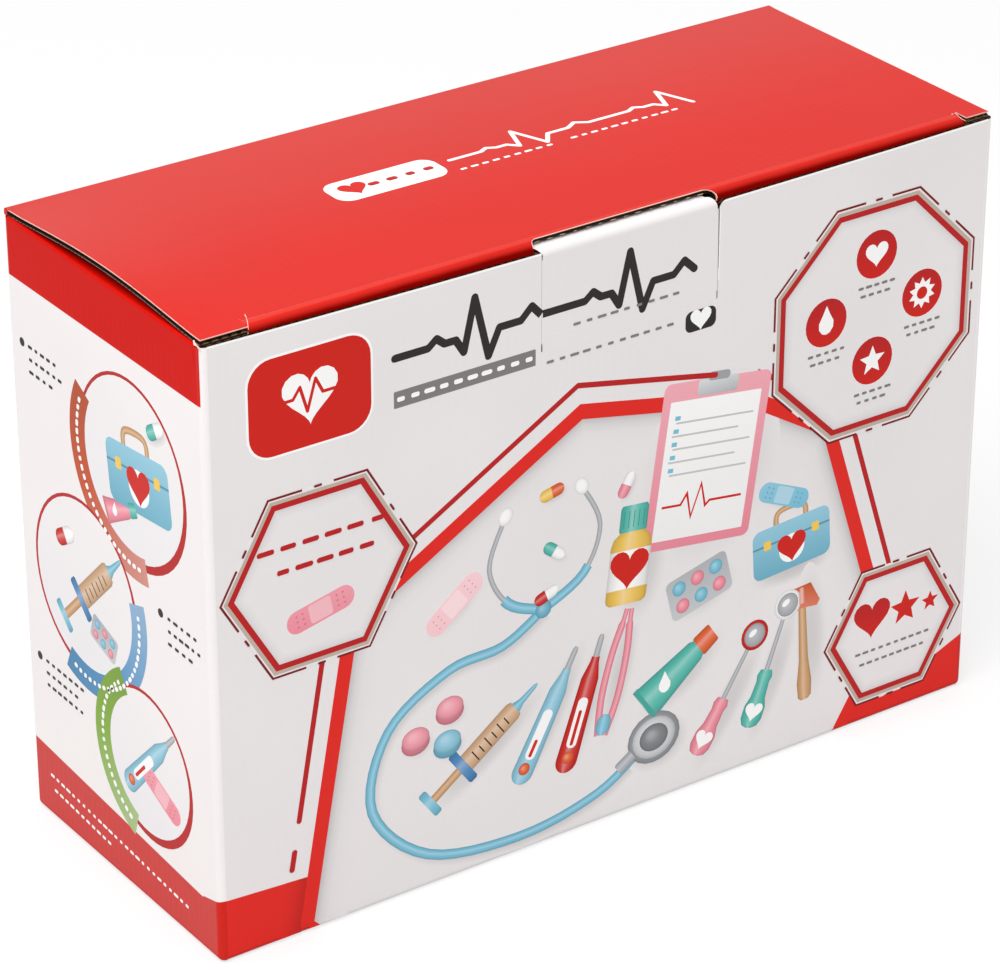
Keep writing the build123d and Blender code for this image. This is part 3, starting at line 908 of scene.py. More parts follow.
def drawBottle(sheet, spot):
    nextPicture(sheet)
    layLongShadow(sheet, spot, 12, -4, 20, 10, 0.25)
    body = [(0, 5.6), (0.8, 7.0), (2, 7.4), (19, 7.4), (21.5, 6.6), (23.5, 4.2), (24, 3.9)]
    layTurned(sheet, spot, body, shaded(inks["yellow"], 0.95), 2)
    layTurned(sheet, spot, [(23.4, 4.6), (24, 5.0), (31, 5.0), (32, 4.4)], inks["teal"], 3)
    layTurned(sheet, spot, [(5, 7.42), (17.5, 7.42)], inks["white"], 3)
    layShape(sheet, heartShape(*turnedTo(spot, 11, 0), 7.5 * spot[3], spot[2] - 90), inks["red"], 4)
    for ridge in range(5):
        place = movedSpot(spot, 27.5, -3.6 + 1.8 * ridge)
        layPlate(sheet, place, 5.4, 0.3, 0.1, shaded(inks["teal"], 0.6), 4)


def drawOintment(sheet, spot, colour, cap):
    nextPicture(sheet)
    layLongShadow(sheet, spot, 16, -3, 20, 8, 0.22)
    layTurned(sheet, spot, [(0, 7.2), (2.2, 7.2), (2.4, 6.9), (24, 4.4), (26, 3.2)], colour, 2)
    layTurned(sheet, spot, [(25.6, 3.8), (26.2, 4.2), (32, 3.9), (32.6, 3.4)], cap, 3)
    layPlate(sheet, movedSpot(spot, 1.1, 0), 1.6, 13.6, 0.3, shaded(colour, 0.75), 3)
    layShape(sheet, dropShape(*turnedTo(spot, 10, 0), 3.6 * spot[3]), inks["white"], 4)


def drawPlaster(sheet, spot, colour):
    nextPicture(sheet)
    x, y, angle, size = spot
    layShadow(sheet, x + 0.6, y - 1.2, 15 * size, 6 * size, angle, 0.16)
    layPlate(sheet, spot, 26, 8.4, 4.1, colour, 2, shaded(colour, 1.12))
    layPlate(sheet, spot, 8.6, 7.0, 1.0, shaded(colour, 1.3), 3)
    holes = [(side * (6.6 + 2.4 * col), 2.0 * row)
             for side in (-1, 1) for row in (-1, 0, 1) for col in (0, 1)]
    for u, v in holes:
        layShape(sheet, ring(*turnedTo(spot, u, v), 0.35, count=8), shaded(colour, 0.7), 3)


def drawBlister(sheet, spot, colour):
    nextPicture(sheet)
    x, y, angle, size = spot
    layShadow(sheet, x + 1, y - 1.6, 15 * size, 10 * size, angle, 0.2)
    layPlate(sheet, spot, 25, 15.5, 2.2, shaded(inks["chrome"], 1.25), 2, shaded(inks["chrome"], 0.98))
    for col in range(3):
        for row in range(2):
            middle = turnedTo(spot, (col - 1) * 7.6, (row - 0.5) * 7.0)
            layBall(sheet, *middle, 2.7 * size, colour if (col + row) % 2 else inks["pink"], 4)


def drawClipboard(sheet, spot):
    nextPicture(sheet)
    x, y, angle, size = spot
    board, clip = inks["pink"], inks["chrome"]
    layShadow(sheet, x + 1.5, y - 2.5, 26 * size, 33 * size, angle, 0.2)
    layPlate(sheet, spot, 40, 54, 2.5, shaded(board, 0.92), 2, shaded(board, 1.2))
    layPlate(sheet, movedSpot(spot, 0, -1.5), 34, 45, 0.4, shaded(inks["white"], 0.9), 3, inks["white"])
    layPlate(sheet, movedSpot(spot, 0, 24.5), 15, 5.4, 1.4, clip, 4, shaded(clip, 1.5))
    layPlate(sheet, movedSpot(spot, 0, 27.6), 8, 2.8, 1.2, shaded(clip, 0.8), 5)
    for row in range(5):
        place = movedSpot(spot, -2.5 if row % 2 else 0.5, 14 - 4.2 * row)
        layPlate(sheet, place, 25 if row % 2 else 29, 0.6, 0.2, inks["paleGrey"], 4)
        layPlate(sheet, movedSpot(spot, -13.6, 15.6 - 4.2 * row), 2.0, 1.4, 0.2, inks["sky"], 4)
    beat = [(-15, -13), (-8, -13), (-6, -9.5), (-3.5, -17.5), (-1, -7), (1.5, -14.5), (3, -13), (15, -13)]
    layLine(sheet, [turnedTo(spot, u, v) for u, v in beat], 0.8 * size, inks["red"], 5)


def drawCase(sheet, spot):
    nextPicture(sheet)
    x, y, angle, size = spot
    shell = inks["sky"]
    layShadow(sheet, x + 1, y - 9 * size, 18 * size, 6 * size, angle, 0.28)
    handle = ((-6, 7), (-6, 12), (-3.5, 14), (3.5, 14), (6, 12), (6, 7))
    layTube(sheet, smoothLine([turnedTo(spot, u, v) for u, v in handle]), 2.1 * size, inks["wood"], 2)
    layPlate(sheet, spot, 32, 18.5, 3.2, shaded(shell, 0.8), 3, shaded(shell, 1.15))
    layPlate(sheet, movedSpot(spot, 0, 2.8), 32, 0.7, 0.1, shaded(shell, 0.55), 4)
    for side in (-1, 1):
        layPlate(sheet, movedSpot(spot, 10 * side, 2.8), 3.0, 3.4, 0.6, inks["yellow"], 5)
    layShape(sheet, ring(*turnedTo(spot, 0, -1.5), 5.3 * size), inks["white"], 5)
    layShape(sheet, heartShape(*turnedTo(spot, 0, -1.5), 6.4 * size, angle), inks["red"], 6)


# the tube's loop from the chest piece up to the fork, and the two ear tubes from there
stethoscope = {
    "loop": [(12, 22), (-6, 11), (-36, 6), (-70, 12), (-90, 34), (-84, 60), (-62, 74), (-42, 76), (-27, 84)],
    "leftEar": [(-27, 84), (-40, 90), (-47, 104), (-41, 120)],
    "rightEar": [(-27, 84), (-12, 92), (-6, 107), (-13, 122)],
    "soft": ((-1.5, 1.0), (-0.6, 0.9), (0, 0.8), (0.6, 0.9), (1.5, 1.0)),
    "chest": ((10.2, 9.2, 0.75), (8.4, 7.4, 1.4), (5.6, 4.9, 0.5)),
}


def drawStethoscope(sheet, spot):
    nextPicture(sheet)
    size = spot[3]
    tube = smoothLine([turnedTo(spot, u, v) for u, v in stethoscope["loop"]])
    shadow = [(u + 1.4, v - 2.2) for u, v in tube]
    layLine(sheet, shadow, 3.4 * size, inks["paper"], underHeight(sheet), False, stethoscope["soft"])
    layTube(sheet, tube, 3.5 * size, inks["sky"], 3)
    for side, ear in ((-1, "leftEar"), (1, "rightEar")):
        metal = smoothLine([turnedTo(spot, u, v) for u, v in stethoscope[ear]])
        layTube(sheet, metal, 1.7 * size, inks["chrome"], 4)
        layTube(sheet, metal[:8], 3.5 * size, inks["sky"], 5)
        layBall(sheet, *metal[-1], 2.5 * size, inks["white"], 6, 3.1 * size, 30 * side)
    layBall(sheet, *turnedTo(spot, -27, 84), 3.0 * size, shaded(inks["sky"], 0.85), 6)
    x, y = turnedTo(spot, 16, 24)
    layShadow(sheet, x + 1.2, y - 2.5, 13 * size, 10.5 * size, 0, 0.35)
    for level, (wide, tall, tone) in enumerate(stethoscope["chest"], 5):
        layBall(sheet, x, y, wide * size, shaded(inks["chrome"], tone), level, tall * size)
    layTurned(sheet, (*turnedTo(spot, 2, 16.5), 34, size), [(0, 2.0), (1, 2.4), (7, 2.2)], inks["chrome"], 6)


# Rows, dashes and words along a line
rowInputs = {"Pitch": 0.01, "Length": 0.006, "Width": 0.001, "Film": 0.0001, "Vary": 0.0}


def rowTree():
    tree = bpy.data.node_groups.new("marks along a line", "GeometryNodeTree")

    def socket(name, kind, in_out="INPUT"):
        return tree.interface.new_socket(name, in_out=in_out, socket_type="NodeSocket" + kind)

    def node(kind, inputs, **settings):
        return addNode(tree, kind, inputs, **settings).outputs[0]

    socket("Geometry", "Geometry")
    for name, value in rowInputs.items():
        socket(name, "Float").default_value = value
    socket("Facing", "Vector").default_value = zAxis
    socket("Seed", "Int").default_value = 1
    socket("Material", "Material")
    socket("Geometry", "Geometry", "OUTPUT")
    into = addNode(tree, "NodeGroupInput").outputs
    # points along the line, each turned to lie flat and to follow it
    lengths = {"Curve": into["Geometry"], "Length": into["Pitch"]}
    spread = addNode(tree, "GeometryNodeCurveToPoints", lengths, mode="LENGTH")
    upright = node("FunctionNodeAlignRotationToVector", {"Vector": into["Facing"]}, axis="Z")
    follow = {"Rotation": upright, "Vector": spread.outputs["Tangent"]}
    turned = node("FunctionNodeAlignRotationToVector", follow, axis="X", pivot_axis="Z")
    # one dash: a rounded plate with a closed back
    oblong = {"Width": into["Length"], "Height": into["Width"]}
    plate = node("GeometryNodeCurvePrimitiveQuadrilateral", oblong)
    radius = calc(tree, "MULTIPLY", into["Width"], 0.46)
    corners = {"Curve": plate, "Radius": radius, "Count": 3, "Limit Radius": True}
    rounded = node("GeometryNodeFilletCurve", corners, mode="POLY")
    filled = node("GeometryNodeFillCurve", {"Curve": rounded}, mode="NGONS")
    both = addNode(tree, "GeometryNodeJoinGeometry")
    film = {"Mesh": filled, "Offset Scale": into["Film"]}
    tree.links.new(node("GeometryNodeExtrudeMesh", film, mode="FACES"), both.inputs[0])
    tree.links.new(node("GeometryNodeFlipFaces", {"Mesh": filled}), both.inputs[0])
    closed = node("GeometryNodeMergeByDistance", {"Geometry": both.outputs[0], "Distance": 1e-6})
    # dashes differ in length by chance
    least = calc(tree, "SUBTRACT", 1.0, into["Vary"])
    between = {2: least, 3: 1.0, "Seed": into["Seed"]}
    chance = addNode(tree, "FunctionNodeRandomValue", between, data_type="FLOAT")
    size = node("ShaderNodeCombineXYZ", {0: chance.outputs[1], 1: 1.0, 2: 1.0})
    dashes = {"Points": spread.outputs["Points"], "Instance": closed, "Rotation": turned, "Scale": size}
    real = node("GeometryNodeRealizeInstances", {0: node("GeometryNodeInstanceOnPoints", dashes)})
    painted = node("GeometryNodeSetMaterial", {"Geometry": real, "Material": into["Material"]})
    addNode(tree, "NodeGroupOutput", {0: painted})
    return tree


marksTree = rowTree()


def printMarks(name, panel, lines, marks, finish, body):
    place = panels[panel]
    curve = bpy.data.curves.new(name, "CURVE")
    curve.dimensions = "3D"
    for line in lines:
        spline = curve.splines.new("POLY")
        spline.points.add(len(line) - 1)
        for point, (u, v) in zip(spline.points, line):
            point.co = (*onPanel(place, u, v, marks["height"]), 1)
    piece = addObject(name, curve)
    modifier = piece.modifiers.new("marks", "NODES")
    modifier.node_group = marksTree
    values = {"Pitch": marks["pitch"] * mm, "Length": marks["length"] * mm, "Width": marks["width"] * mm,
              "Film": 0.08 * mm, "Vary": marks.get("vary", 0.0), "Seed": marks.get("seed", 1),
              "Facing": place["n"], "Material": finishes[finish]}
    for socket in marksTree.interface.items_tree:
        if socket.in_out == "INPUT" and socket.name in values:
            modifier[socket.identifier] = values[socket.name]
    plainMesh(piece, body)


# turns a piece with its modifiers into one plain mesh that rides on a body
def plainMesh(piece, body):
    label = piece.name
    seen = piece.evaluated_get(bpy.context.evaluated_depsgraph_get())
    mesh = bpy.data.meshes.new_from_object(seen)
    mesh.name = label
    for layer in list(mesh.attributes):
        if layer.name not in ("position", "material_index", "sharp_face") and not layer.name.startswith("."):
            mesh.attributes.remove(layer)
    bpy.data.objects.remove(piece)
    solid = addObject(label, mesh)
    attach(solid, body)


# a short line that starts part of the way along each side, for one dash beside it
def dashSpots(points, share, closed=False):
    spots = []
    for a, b in zip(points, points[1:] + (points[:1] if closed else [])):
        start = (a[0] + (b[0] - a[0]) * share, a[1] + (b[1] - a[1]) * share)
        spots.append([start, b])
    return spots


def trimmed(line, before, after):
    (ax, ay), (bx, by) = line
    length = hypot(bx - ax, by - ay)
    return [(ax + (bx - ax) * t, ay + (by - ay) * t) for t in (before / length, 1 - after / length)]


def offsetLine(points, distance, closed=False):
    count = len(points)
    moved = []
    for i, (u, v) in enumerate(points):
        before = points[i - 1] if closed or i else points[i]
        after = points[(i + 1) % count] if closed or i < count - 1 else points[i]
        sides = []
        for a, b in ((before, (u, v)), ((u, v), after)):
            along = Vector((b[0] - a[0], b[1] - a[1]))
            if along.length > 1e-6:
                along.normalize()
                sides.append(Vector((-along.y, along.x)))
        side = sum(sides, Vector((0, 0))).normalized()
        reach = distance / max(0.3, side.dot(sides[0]))
        moved.append((u + side.x * reach, v + side.y * reach))
    return moved


# Paper that bends at the folds: where each bend starts and ends, in metres
fold = {"thick": 0.05, "proud": 0.03, "radius": 0.93, "middle": 0.9, "steps": 6, "stations": 10}
lidBend = {"bodies": ("carton", "lid"), "start": (0, 0.058, 0.2120), "end": (0, 0.0555, 0.2145)}


def arcOf(cx, cz, radius, start, stop):
    turns = [radians(start + (stop - start) * i / fold["steps"]) for i in range(fold["steps"] + 1)]
    return [(cx + radius * cos(a), cz + radius * sin(a)) for a in turns]


# a thin closed sheet from two grids of points, its outside and its inside, in mm
def thinSheet(name, outside, inside, finish):
    count, wide = len(outside), len(outside[0])
    verts = [Vector(point) * mm for grid in (outside, inside) for row in grid for point in row]
    under = count * wide
    faces = []
    for i in range(count - 1):
        for k in range(wide - 1):
            a = i * wide + k
            quad = (a, a + 1, a + wide + 1, a + wide)
            faces.append(quad)
            faces.append(tuple(under + v for v in reversed(quad)))
        for k in (0, wide - 1):
            a = i * wide + k
            faces.append((a, a + wide, under + a + wide, under + a))
    for i in (0, count - 1):
        for k in range(wide - 1):
            a = i * wide + k
            faces.append((a, under + a, under + a + 1, a + 1))
    return solidPiece(name, verts, faces, finish)


# the inside of a thin sheet: its outside moved by the same small step
def movedGrid(grid, dx, dy, dz):
    return [[(x + dx, y + dy, z + dz) for x, y, z in row] for row in grid]


# an outline in the plane across the fold, carried along the fold
def foldSkin(name, outline, inward, span, finish, bend, across="y"):
    count = fold["stations"]
    stations = [span[0] + (span[1] - span[0]) * i / count for i in range(count + 1)]

    def carried(line):
        return [[(along, p, q) if across == "y" else (p, along, q) for p, q in line] for along in stations]

    piece = thinSheet(name, carried(outline), carried(offsetLine(outline, inward * fold["thick"])), finish)
    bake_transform(piece, *bend["bodies"], start=bend["start"], end=bend["end"])


# over the lid's back fold and a little way on to the lid
def overLidFold():
    spot = wall["back"] - fold["middle"], wall["top"] - fold["middle"]
    return arcOf(*spot, fold["radius"], 0, 90) + [(54.6, wall["top"] + 0.003)]


def layFolds():
    proud, radius = fold["proud"], fold["radius"]
    back = wall["back"] + proud
    rise = [(back, 203.5), (back, 211.8)] + overLidFold()
    foldSkin("lid_fold_skin", rise, 1, (-147.6, 147.6), "backSkin", lidBend)
    edge = wall["right"] + proud
    for side, name, far in ((-1, "left", 54.5), (1, "right", 53.8)):
        rise = [(edge, 204.5)] + arcOf(149.1, 211.5, radius, 0, 90) + [(141, 211.5 + radius)]
        if side < 0:
            rise = [(-p, q) for p, q in rise]
        bend = {"bodies": ("carton", name + "_dust_flap"), "start": (side * 0.150, 0, 0.2103),
                "end": (side * 0.1478, 0, 0.2124)}
        foldSkin(name + "_dust_fold_skin", rise, side, (-54.4, far), "sideSkin", bend, across="x")
    front = wall["front"] - proud
    line = [(front, 176.3 + 6.4 * i / 12) for i in range(13)]
    bend = {"bodies": ("carton", "lock_tongue"), "start": (0, -0.058, 0.178), "end": (0, -0.058, 0.181)}
    span = (tongueBox[0].x + 0.05, tongueBox[1].x - 0.05)
    foldSkin("tongue_fold_skin", line, -1, span, "paperSkin", bend)


# The paper at the tongue's upper corners, and its torn lips along the slits
tongueCorner = {"axisY": -55.0, "axisZ": 209.4, "radius": 3.03, "low": 205.4, "inner": 34.2, "reach": 3.5,
                "left": -28.98, "leftReach": 2.8}
tongueLips = {"low": 180.5, "high": 208.5, "inside": 0.3,
              "left": (tongueBox[0].x, -1, 0.32, 0.3), "right": (tongueBox[1].x, 1, 0.26, 0.0)}


def tongueWay(turn):
    y, z, radius = tongueCorner["axisY"], tongueCorner["axisZ"], tongueCorner["radius"]
    if turn < 0:
        return y - radius, z + turn
    return y - radius * cos(radians(turn)), z + radius * sin(radians(turn))


def cornerSheet(name, spans):
    outside = [[(x, y, z) for x in (a, (a + b) / 2, b)] for a, b, y, z in spans]
    piece = thinSheet(name, outside, movedGrid(outside, 0, 0.07, -0.05), "paperSkin")
    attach(piece, "lock_tongue")


def layTongueCorners():
    turns = [tongueCorner["low"] - tongueCorner["axisZ"] + i for i in range(4)] + [10 * i for i in range(9)]
    inner, spans = tongueCorner["inner"], []
    for i, turn in enumerate(turns):
        reach = tongueCorner["reach"] * (1 - (i / (len(turns) - 1)) ** 2) ** 0.5
        spans.append((inner, inner + max(0.3, reach), *tongueWay(turn)))
    cornerSheet("tongue_right_corner", spans)
    left, spans = tongueCorner["left"], []
    for i in range(12):
        reach = tongueCorner["leftReach"] * min(1, i / 9)
        spans.append((left - max(0.1, reach), left + 0.3, *tongueWay(18 + 7.4 * i)))
    cornerSheet("tongue_left_corner", spans)
    low, high = tongueLips["low"], tongueLips["high"]
    for side in ("left", "right"):
        edge, sign, wideLow, wideHigh = tongueLips[side]
        spans = []
        for i in range(9):
            wide = wideLow + (wideHigh - wideLow) * i / 8
            ends = sorted((edge - sign * tongueLips["inside"], edge + sign * wide))
            spans.append((*ends, wall["front"] - 0.012, low + (high - low) * i / 8))
        cornerSheet("tongue_" + side + "_lip", spans)


# The lid's left edge stands a little off the wall between its corners
lidBow = {"lift": 3.0, "front": -57.0, "back": 54.0, "edge": -149.5, "inner": -96.0, "sharp": 20,
          "acrossStep": 6, "acrossCuts": 9, "alongStep": 5.55, "alongCuts": 21}


def bowAt(x, y):
    t = (y - lidBow["front"]) / (lidBow["back"] - lidBow["front"])
    if not 0 < t < 1 or x > lidBow["inner"]:
        return 0.0
    near = (lidBow["inner"] - x) / (lidBow["inner"] - lidBow["edge"])
    return lidBow["lift"] * (4 * (t - t * t)) ** 1.5 * near * near


def bowedCopy(name):
    work = bmesh.new()
    work.from_mesh(nodes[name].data)
    bmesh.ops.remove_doubles(work, verts=work.verts, dist=1e-6)
    cuts = [(lidBow["inner"] - lidBow["acrossStep"] * i, 0) for i in range(lidBow["acrossCuts"])]
    cuts += [(lidBow["front"] + lidBow["alongStep"] * i, 1) for i in range(lidBow["alongCuts"])]
    for place, axis in cuts:
        spot, normal = Vector((0, 0, 0)), Vector((0, 0, 0))
        spot[axis], normal[axis] = place * mm, 1
        everything = work.verts[:] + work.edges[:] + work.faces[:]
        bmesh.ops.bisect_plane(work, geom=everything, plane_co=spot, plane_no=normal)
    for vertex in work.verts:
        vertex.co.z += bowAt(vertex.co.x / mm, vertex.co.y / mm) * mm
    mesh = bpy.data.meshes.new(name + "_bowed")
    work.to_mesh(mesh)
    work.free()
    mesh.shade_smooth()
    mesh.set_sharp_from_angle(angle=radians(lidBow["sharp"]))
    mesh.materials.append(finishes[finishFor(name)])
    piece = addObject(name + "_bowed", mesh)
    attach(piece, "lid")
    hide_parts(name)


# A board of three plies as one mesh, from grids of outside and inside points, where present says which
# quads are there. Each ply: its finish, the finish of its cut edge, and its start and stop in the thickness
plies = (
    ("crossFold", "paperEdge", 0.0, 0.3),
    ("flutingShut", "flutingShut", 0.3, 1.5),
    ("linerLid", "linerLid", 1.5, 1.8),
)


def layBoard(name, outside, inside, present, thick):
    count, wide = len(outside), len(outside[0])
    verts, faces, kinds = [], [], []
    mesh = bpy.data.meshes.new(name)

    def add(quad, which):
        faces.append(quad)
        kinds.append(which)

    for face, edge, start, stop in plies:
        for finish in (face, edge):
            mesh.materials.append(finishes[finish])
        low = len(verts)
        for share in (start / thick, stop / thick):
            for outer, inner in zip(outside, inside):
                verts += [Vector(a).lerp(Vector(b), share) * mm for a, b in zip(outer, inner)]
        under = low + count * wide
        kind = len(mesh.materials) - 2
        for i in range(count - 1):
            for k in range(wide - 1):
                if not present(i, k):
                    continue
                a, b, c, d = i * wide + k, i * wide + k + 1, (i + 1) * wide + k + 1, (i + 1) * wide + k
                add((low + a, low + b, low + c, low + d), kind)
                add((under + d, under + c, under + b, under + a), kind + 1)
                sides = (((i - 1, k), a, b), ((i, k + 1), b, c), ((i + 1, k), c, d), ((i, k - 1), d, a))
                for (row, col), p, q in sides:
                    beyond = row < 0 or col < 0 or row >= count - 1 or col >= wide - 1
                    if beyond or not present(row, col):
                        add((low + p, under + p, under + q, low + q), kind + 1)
    mesh.from_pydata(verts, [], faces)
    for polygon, kind in zip(mesh.polygons, kinds):
        polygon.material_index = kind
    work = bmesh.new()
    work.from_mesh(mesh)
    loose = [vertex for vertex in work.verts if not vertex.link_faces]
    bmesh.ops.delete(work, geom=loose, context="VERTS")
    bmesh.ops.recalc_face_normals(work, faces=work.faces)
    for face in work.faces:
        face.smooth = True
    for line in work.edges:
        line.smooth = line.is_manifold and line.calc_face_angle() < radians(40)
    work.to_mesh(mesh)
    work.free()
    return addObject(name, mesh)


# The rolled front edge of the lid, bulging over the front wall, with the slot cut round the tongue.
# slotLeft and slotRight: the slot's end at its top row, how far it widens below, and over how many rows
roll = {
    "left": -133.2, "right": 138.0, "thick": 1.8, "seat": 0.1, "rim": 0.2, "columns": 26, "slotRow": 4,
    "slotLeft": (-29.6, -2.2, 10), "slotRight": (34.2, 3.4, 13),
    "axis": (-54.888, 210.596), "lean": 8.5, "nose": ((0, 0.9), (0.64, 0.64), (0.9, 0.08)),
    "inside": ((-52.9, 212.7), (-53.3, 212.62), (-53.65, 212.43), (-53.9, 212.2), (-54.03, 211.95),
               (-54.09, 211.65), (-54.09, 211.4), (-54.06, 211.1)),
    "skinLeft": (-133.0, -34.6), "skinRight": (37.9, 137.8), "skinOut": 0.93,
}


def wallTop(x):
    return frontEdge["top"] - frontEdge["sag"] * (1 - (x / frontEdge["half"]) ** 2)


# a point beside the tuck flap's axis: so far down along the flap, and so far out from its face
def besideTuckAxis(down, out):
    lean = radians(roll["lean"])
    y, z = roll["axis"]
    return y + sin(lean) * down - cos(lean) * out, z - cos(lean) * down - sin(lean) * out


def rollOutside(x):
    low = wallTop(x) + roll["seat"]
    front = (213.6 + low) / 2
    swell = 0.16 * sin(0.19 * x + 1) + 0.12 * sin(0.43 * x) + 0.08 * sin(0.071 * x + 2)
    bulge = [(-52.65, 214.506), (-54.4, 214.36), (-55.8, 213.85 + 0.4 * swell),
             (-56.85 - 0.5 * swell, 213.2), (-57.4 - swell, front), (-57.5 - 0.5 * swell, low + 0.35),
             (-57.1, low + 0.08), (-56.3, low - 0.15)]
    return smoothLine(bulge + [besideTuckAxis(down, out) for down, out in roll["nose"]], steps=4)


def rollInside():
    nose = [besideTuckAxis(down, -out) for down, out in roll["nose"]]
    return smoothLine(list(roll["inside"]) + nose, steps=4)


def slotEnd(row, side):
    start, reach, rows = roll[side]
    t = min(1.0, max(0.0, (row - roll["slotRow"]) / rows))
    return start + reach * (1 - (1 - t) ** 2) ** 0.5


# white of the paper along the slot's cut edge
def slotRim(outside):
    columns, first, rim = roll["columns"], roll["slotRow"], roll["rim"]
    leftLast, rightLast = first + roll["slotLeft"][2], first + roll["slotRight"][2]
    edge = [(outside[row][columns], (-1, 0)) for row in range(leftLast, first, -1)]
    edge += [(outside[first][columns + i], (0, 1)) for i in range(columns + 1)]
    edge += [(outside[row][2 * columns], (1, 0)) for row in range(first + 1, rightLast + 1)]
    top, under = [], []
    for (x, y, z), (side, back) in edge:
        farX, farY, farZ = x + side * rim, y + back * rim, z + 0.03 + 0.2 * back * rim
        top.append([(x, y - 0.03, z + 0.03), (farX, farY - 0.03, farZ)])
        under.append([(x, y + 0.05, z - 0.05), (farX, farY + 0.05, farZ - 0.08)])
    piece = thinSheet("lid_slot_rim", top, under, "paperEdge")
    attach(piece, "lid")


def layFrontRoll():
    columns, first, last = roll["columns"], roll["left"], roll["right"]
    outside, inside = [], []
    for row, inner in enumerate(rollInside()):
        left, right = slotEnd(row, "slotLeft"), slotEnd(row, "slotRight")
        spots = [first + (left - first) * i / columns for i in range(columns + 1)]
        spots += [left + (right - left) * i / columns for i in range(1, columns)]
        spots += [right + (last - right) * i / columns for i in range(columns + 1)]
        outside.append([(x, *rollOutside(x)[row]) for x in spots])
        inside.append([(x, *inner) for x in spots])

    def present(row, col):
        return row < roll["slotRow"] or col < columns or col >= 2 * columns

    slotRim(outside)
    piece = layBoard("lid_front_roll", outside, inside, present, roll["thick"])
    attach(piece, "lid")
    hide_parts("left_tuck_crease", "right_tuck_crease")


# the print that runs on over the tuck crease, on both sides of the slot
def layTuckFolds():
    line = [besideTuckAxis(-0.5 + 0.45 * i, roll["skinOut"]) for i in range(11)]
    start, end = ((0, *(value * mm for value in besideTuckAxis(down, 0))) for down in (-0.4, 1.1))
    bend = {"bodies": ("lid", "tuck_flap"), "start": start, "end": end}
    for name, span in (("left", roll["skinLeft"]), ("right", roll["skinRight"])):
        foldSkin("tuck_fold_skin_" + name, line, -1, span, "redSkin", bend)


# the ends of the lid's fold, out to the lid's own edges
def layLidFoldEnds():
    back, top, middle = wall["back"], wall["top"], fold["middle"]
    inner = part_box("lid_crease")[1].x / mm
    section = [(back - 1.8, 212.2), (back, 212.2)] + arcOf(back - middle, top - middle, middle, 0, 180)
    cover = [(back + 0.02, 212.2)] + overLidFold()
    for side, name, corner in ((-1, "left", 0), (1, "right", 1)):
        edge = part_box("lid_print_sheet")[corner].x / mm
        if abs(edge) - inner < 0.3:
            continue
        low, high = sorted((side * (inner - 0.1), edge))
        bar = thinBar("lid_fold_end_" + name, section, low, high, "backSkin")
        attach(bar, "carton")
        foldSkin("lid_fold_cover_" + name, cover, 1, (low, high), "backSkin", lidBend)


def thinBar(name, section, low, high, finish):
    count = len(section)
    verts = [Vector((x, y, z)) * mm for x in (low, high) for y, z in section]
    faces = [tuple(range(count)), tuple(range(2 * count - 1, count - 1, -1))]
    faces += [(i, (i + 1) % count, count + (i + 1) % count, count + i) for i in range(count)]
    return solidPiece(name, verts, faces, finish)


# Torn paper: a scrap where two walls meet under the lid's near corner, and white lips beside the slits where
# the front edge rolls away from the two ears, as (x, y, width)
cornerTear = [
    [(-150.0, -57.9, 211.6), (-149.3, -57.2, 211.9)],
    [(-150.35, -57.0, 212.7), (-149.7, -56.7, 212.6)],
    [(-150.8, -55.9, 213.1), (-150.1, -55.6, 213.5)],
    [(-150.3, -54.9, 213.9), (-150.0, -55.0, 214.0)],
]
earTears = {
    "left": [(-129.4, -49.5, 0.12), (-130.0, -50.7, 0.26), (-130.3, -51.8, 0.2), (-130.9, -53.0, 0.16),
             (-131.3, -53.9, 0.2), (-131.8, -54.9, 0.2), (-132.3, -55.9, 0.24), (-132.8, -56.9, 0.14)],
    "right": [(136.2, -53.2, 0.15), (137.0, -52.3, 0.32), (138.0, -52.5, 0.32), (138.0, -53.6, 0.2),
              (137.6, -55.0, 0.18), (138.0, -56.2, 0.28), (138.8, -57.0, 0.15)],
}


def layCornerTear():
    piece = thinSheet("near_corner_tear", cornerTear, movedGrid(cornerTear, 0.12, 0.05, -0.06), "paperEdge")
    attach(piece, "carton")


def rollHeight(x, y):
    way = rollOutside(x)
    if y >= way[0][0]:
        return way[0][1]
    for (y1, z1), (y2, z2) in zip(way, way[1:]):
        if y2 <= y <= y1:
            return z1 + (z2 - z1) * (y1 - y) / (y1 - y2)
    return way[-1][1]


def layEarTears():
    patch = [[(x, y, wall["top"] + 0.004) for x in (-133.3, -132.4)] for y in (-53.0, -51.6)]
    piece = thinSheet("ear_slit_end", patch, movedGrid(patch, 0, 0, -0.1), "redSkin")
    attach(piece, "lid")
    for side, way in earTears.items():
        outside = [[(x + shift, y, rollHeight(x, y) + 0.14) for shift in (-width / 2, width / 2)]
                   for x, y, width in way]
        piece = thinSheet("ear_tear_" + side, outside, movedGrid(outside, 0, 0, -0.06), "paperEdge")
        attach(piece, "lid")


layFolds()
layTongueCorners()
layCornerTear()
layEarTears()
layFrontRoll()
layTuckFolds()
layLidFoldEnds()
for name in ("lid_print_sheet", "lid_liner", "lid_fluting_left", "lid_fluting_middle"):
    bowedCopy(name)
print("folds, corners and bowed lid made")


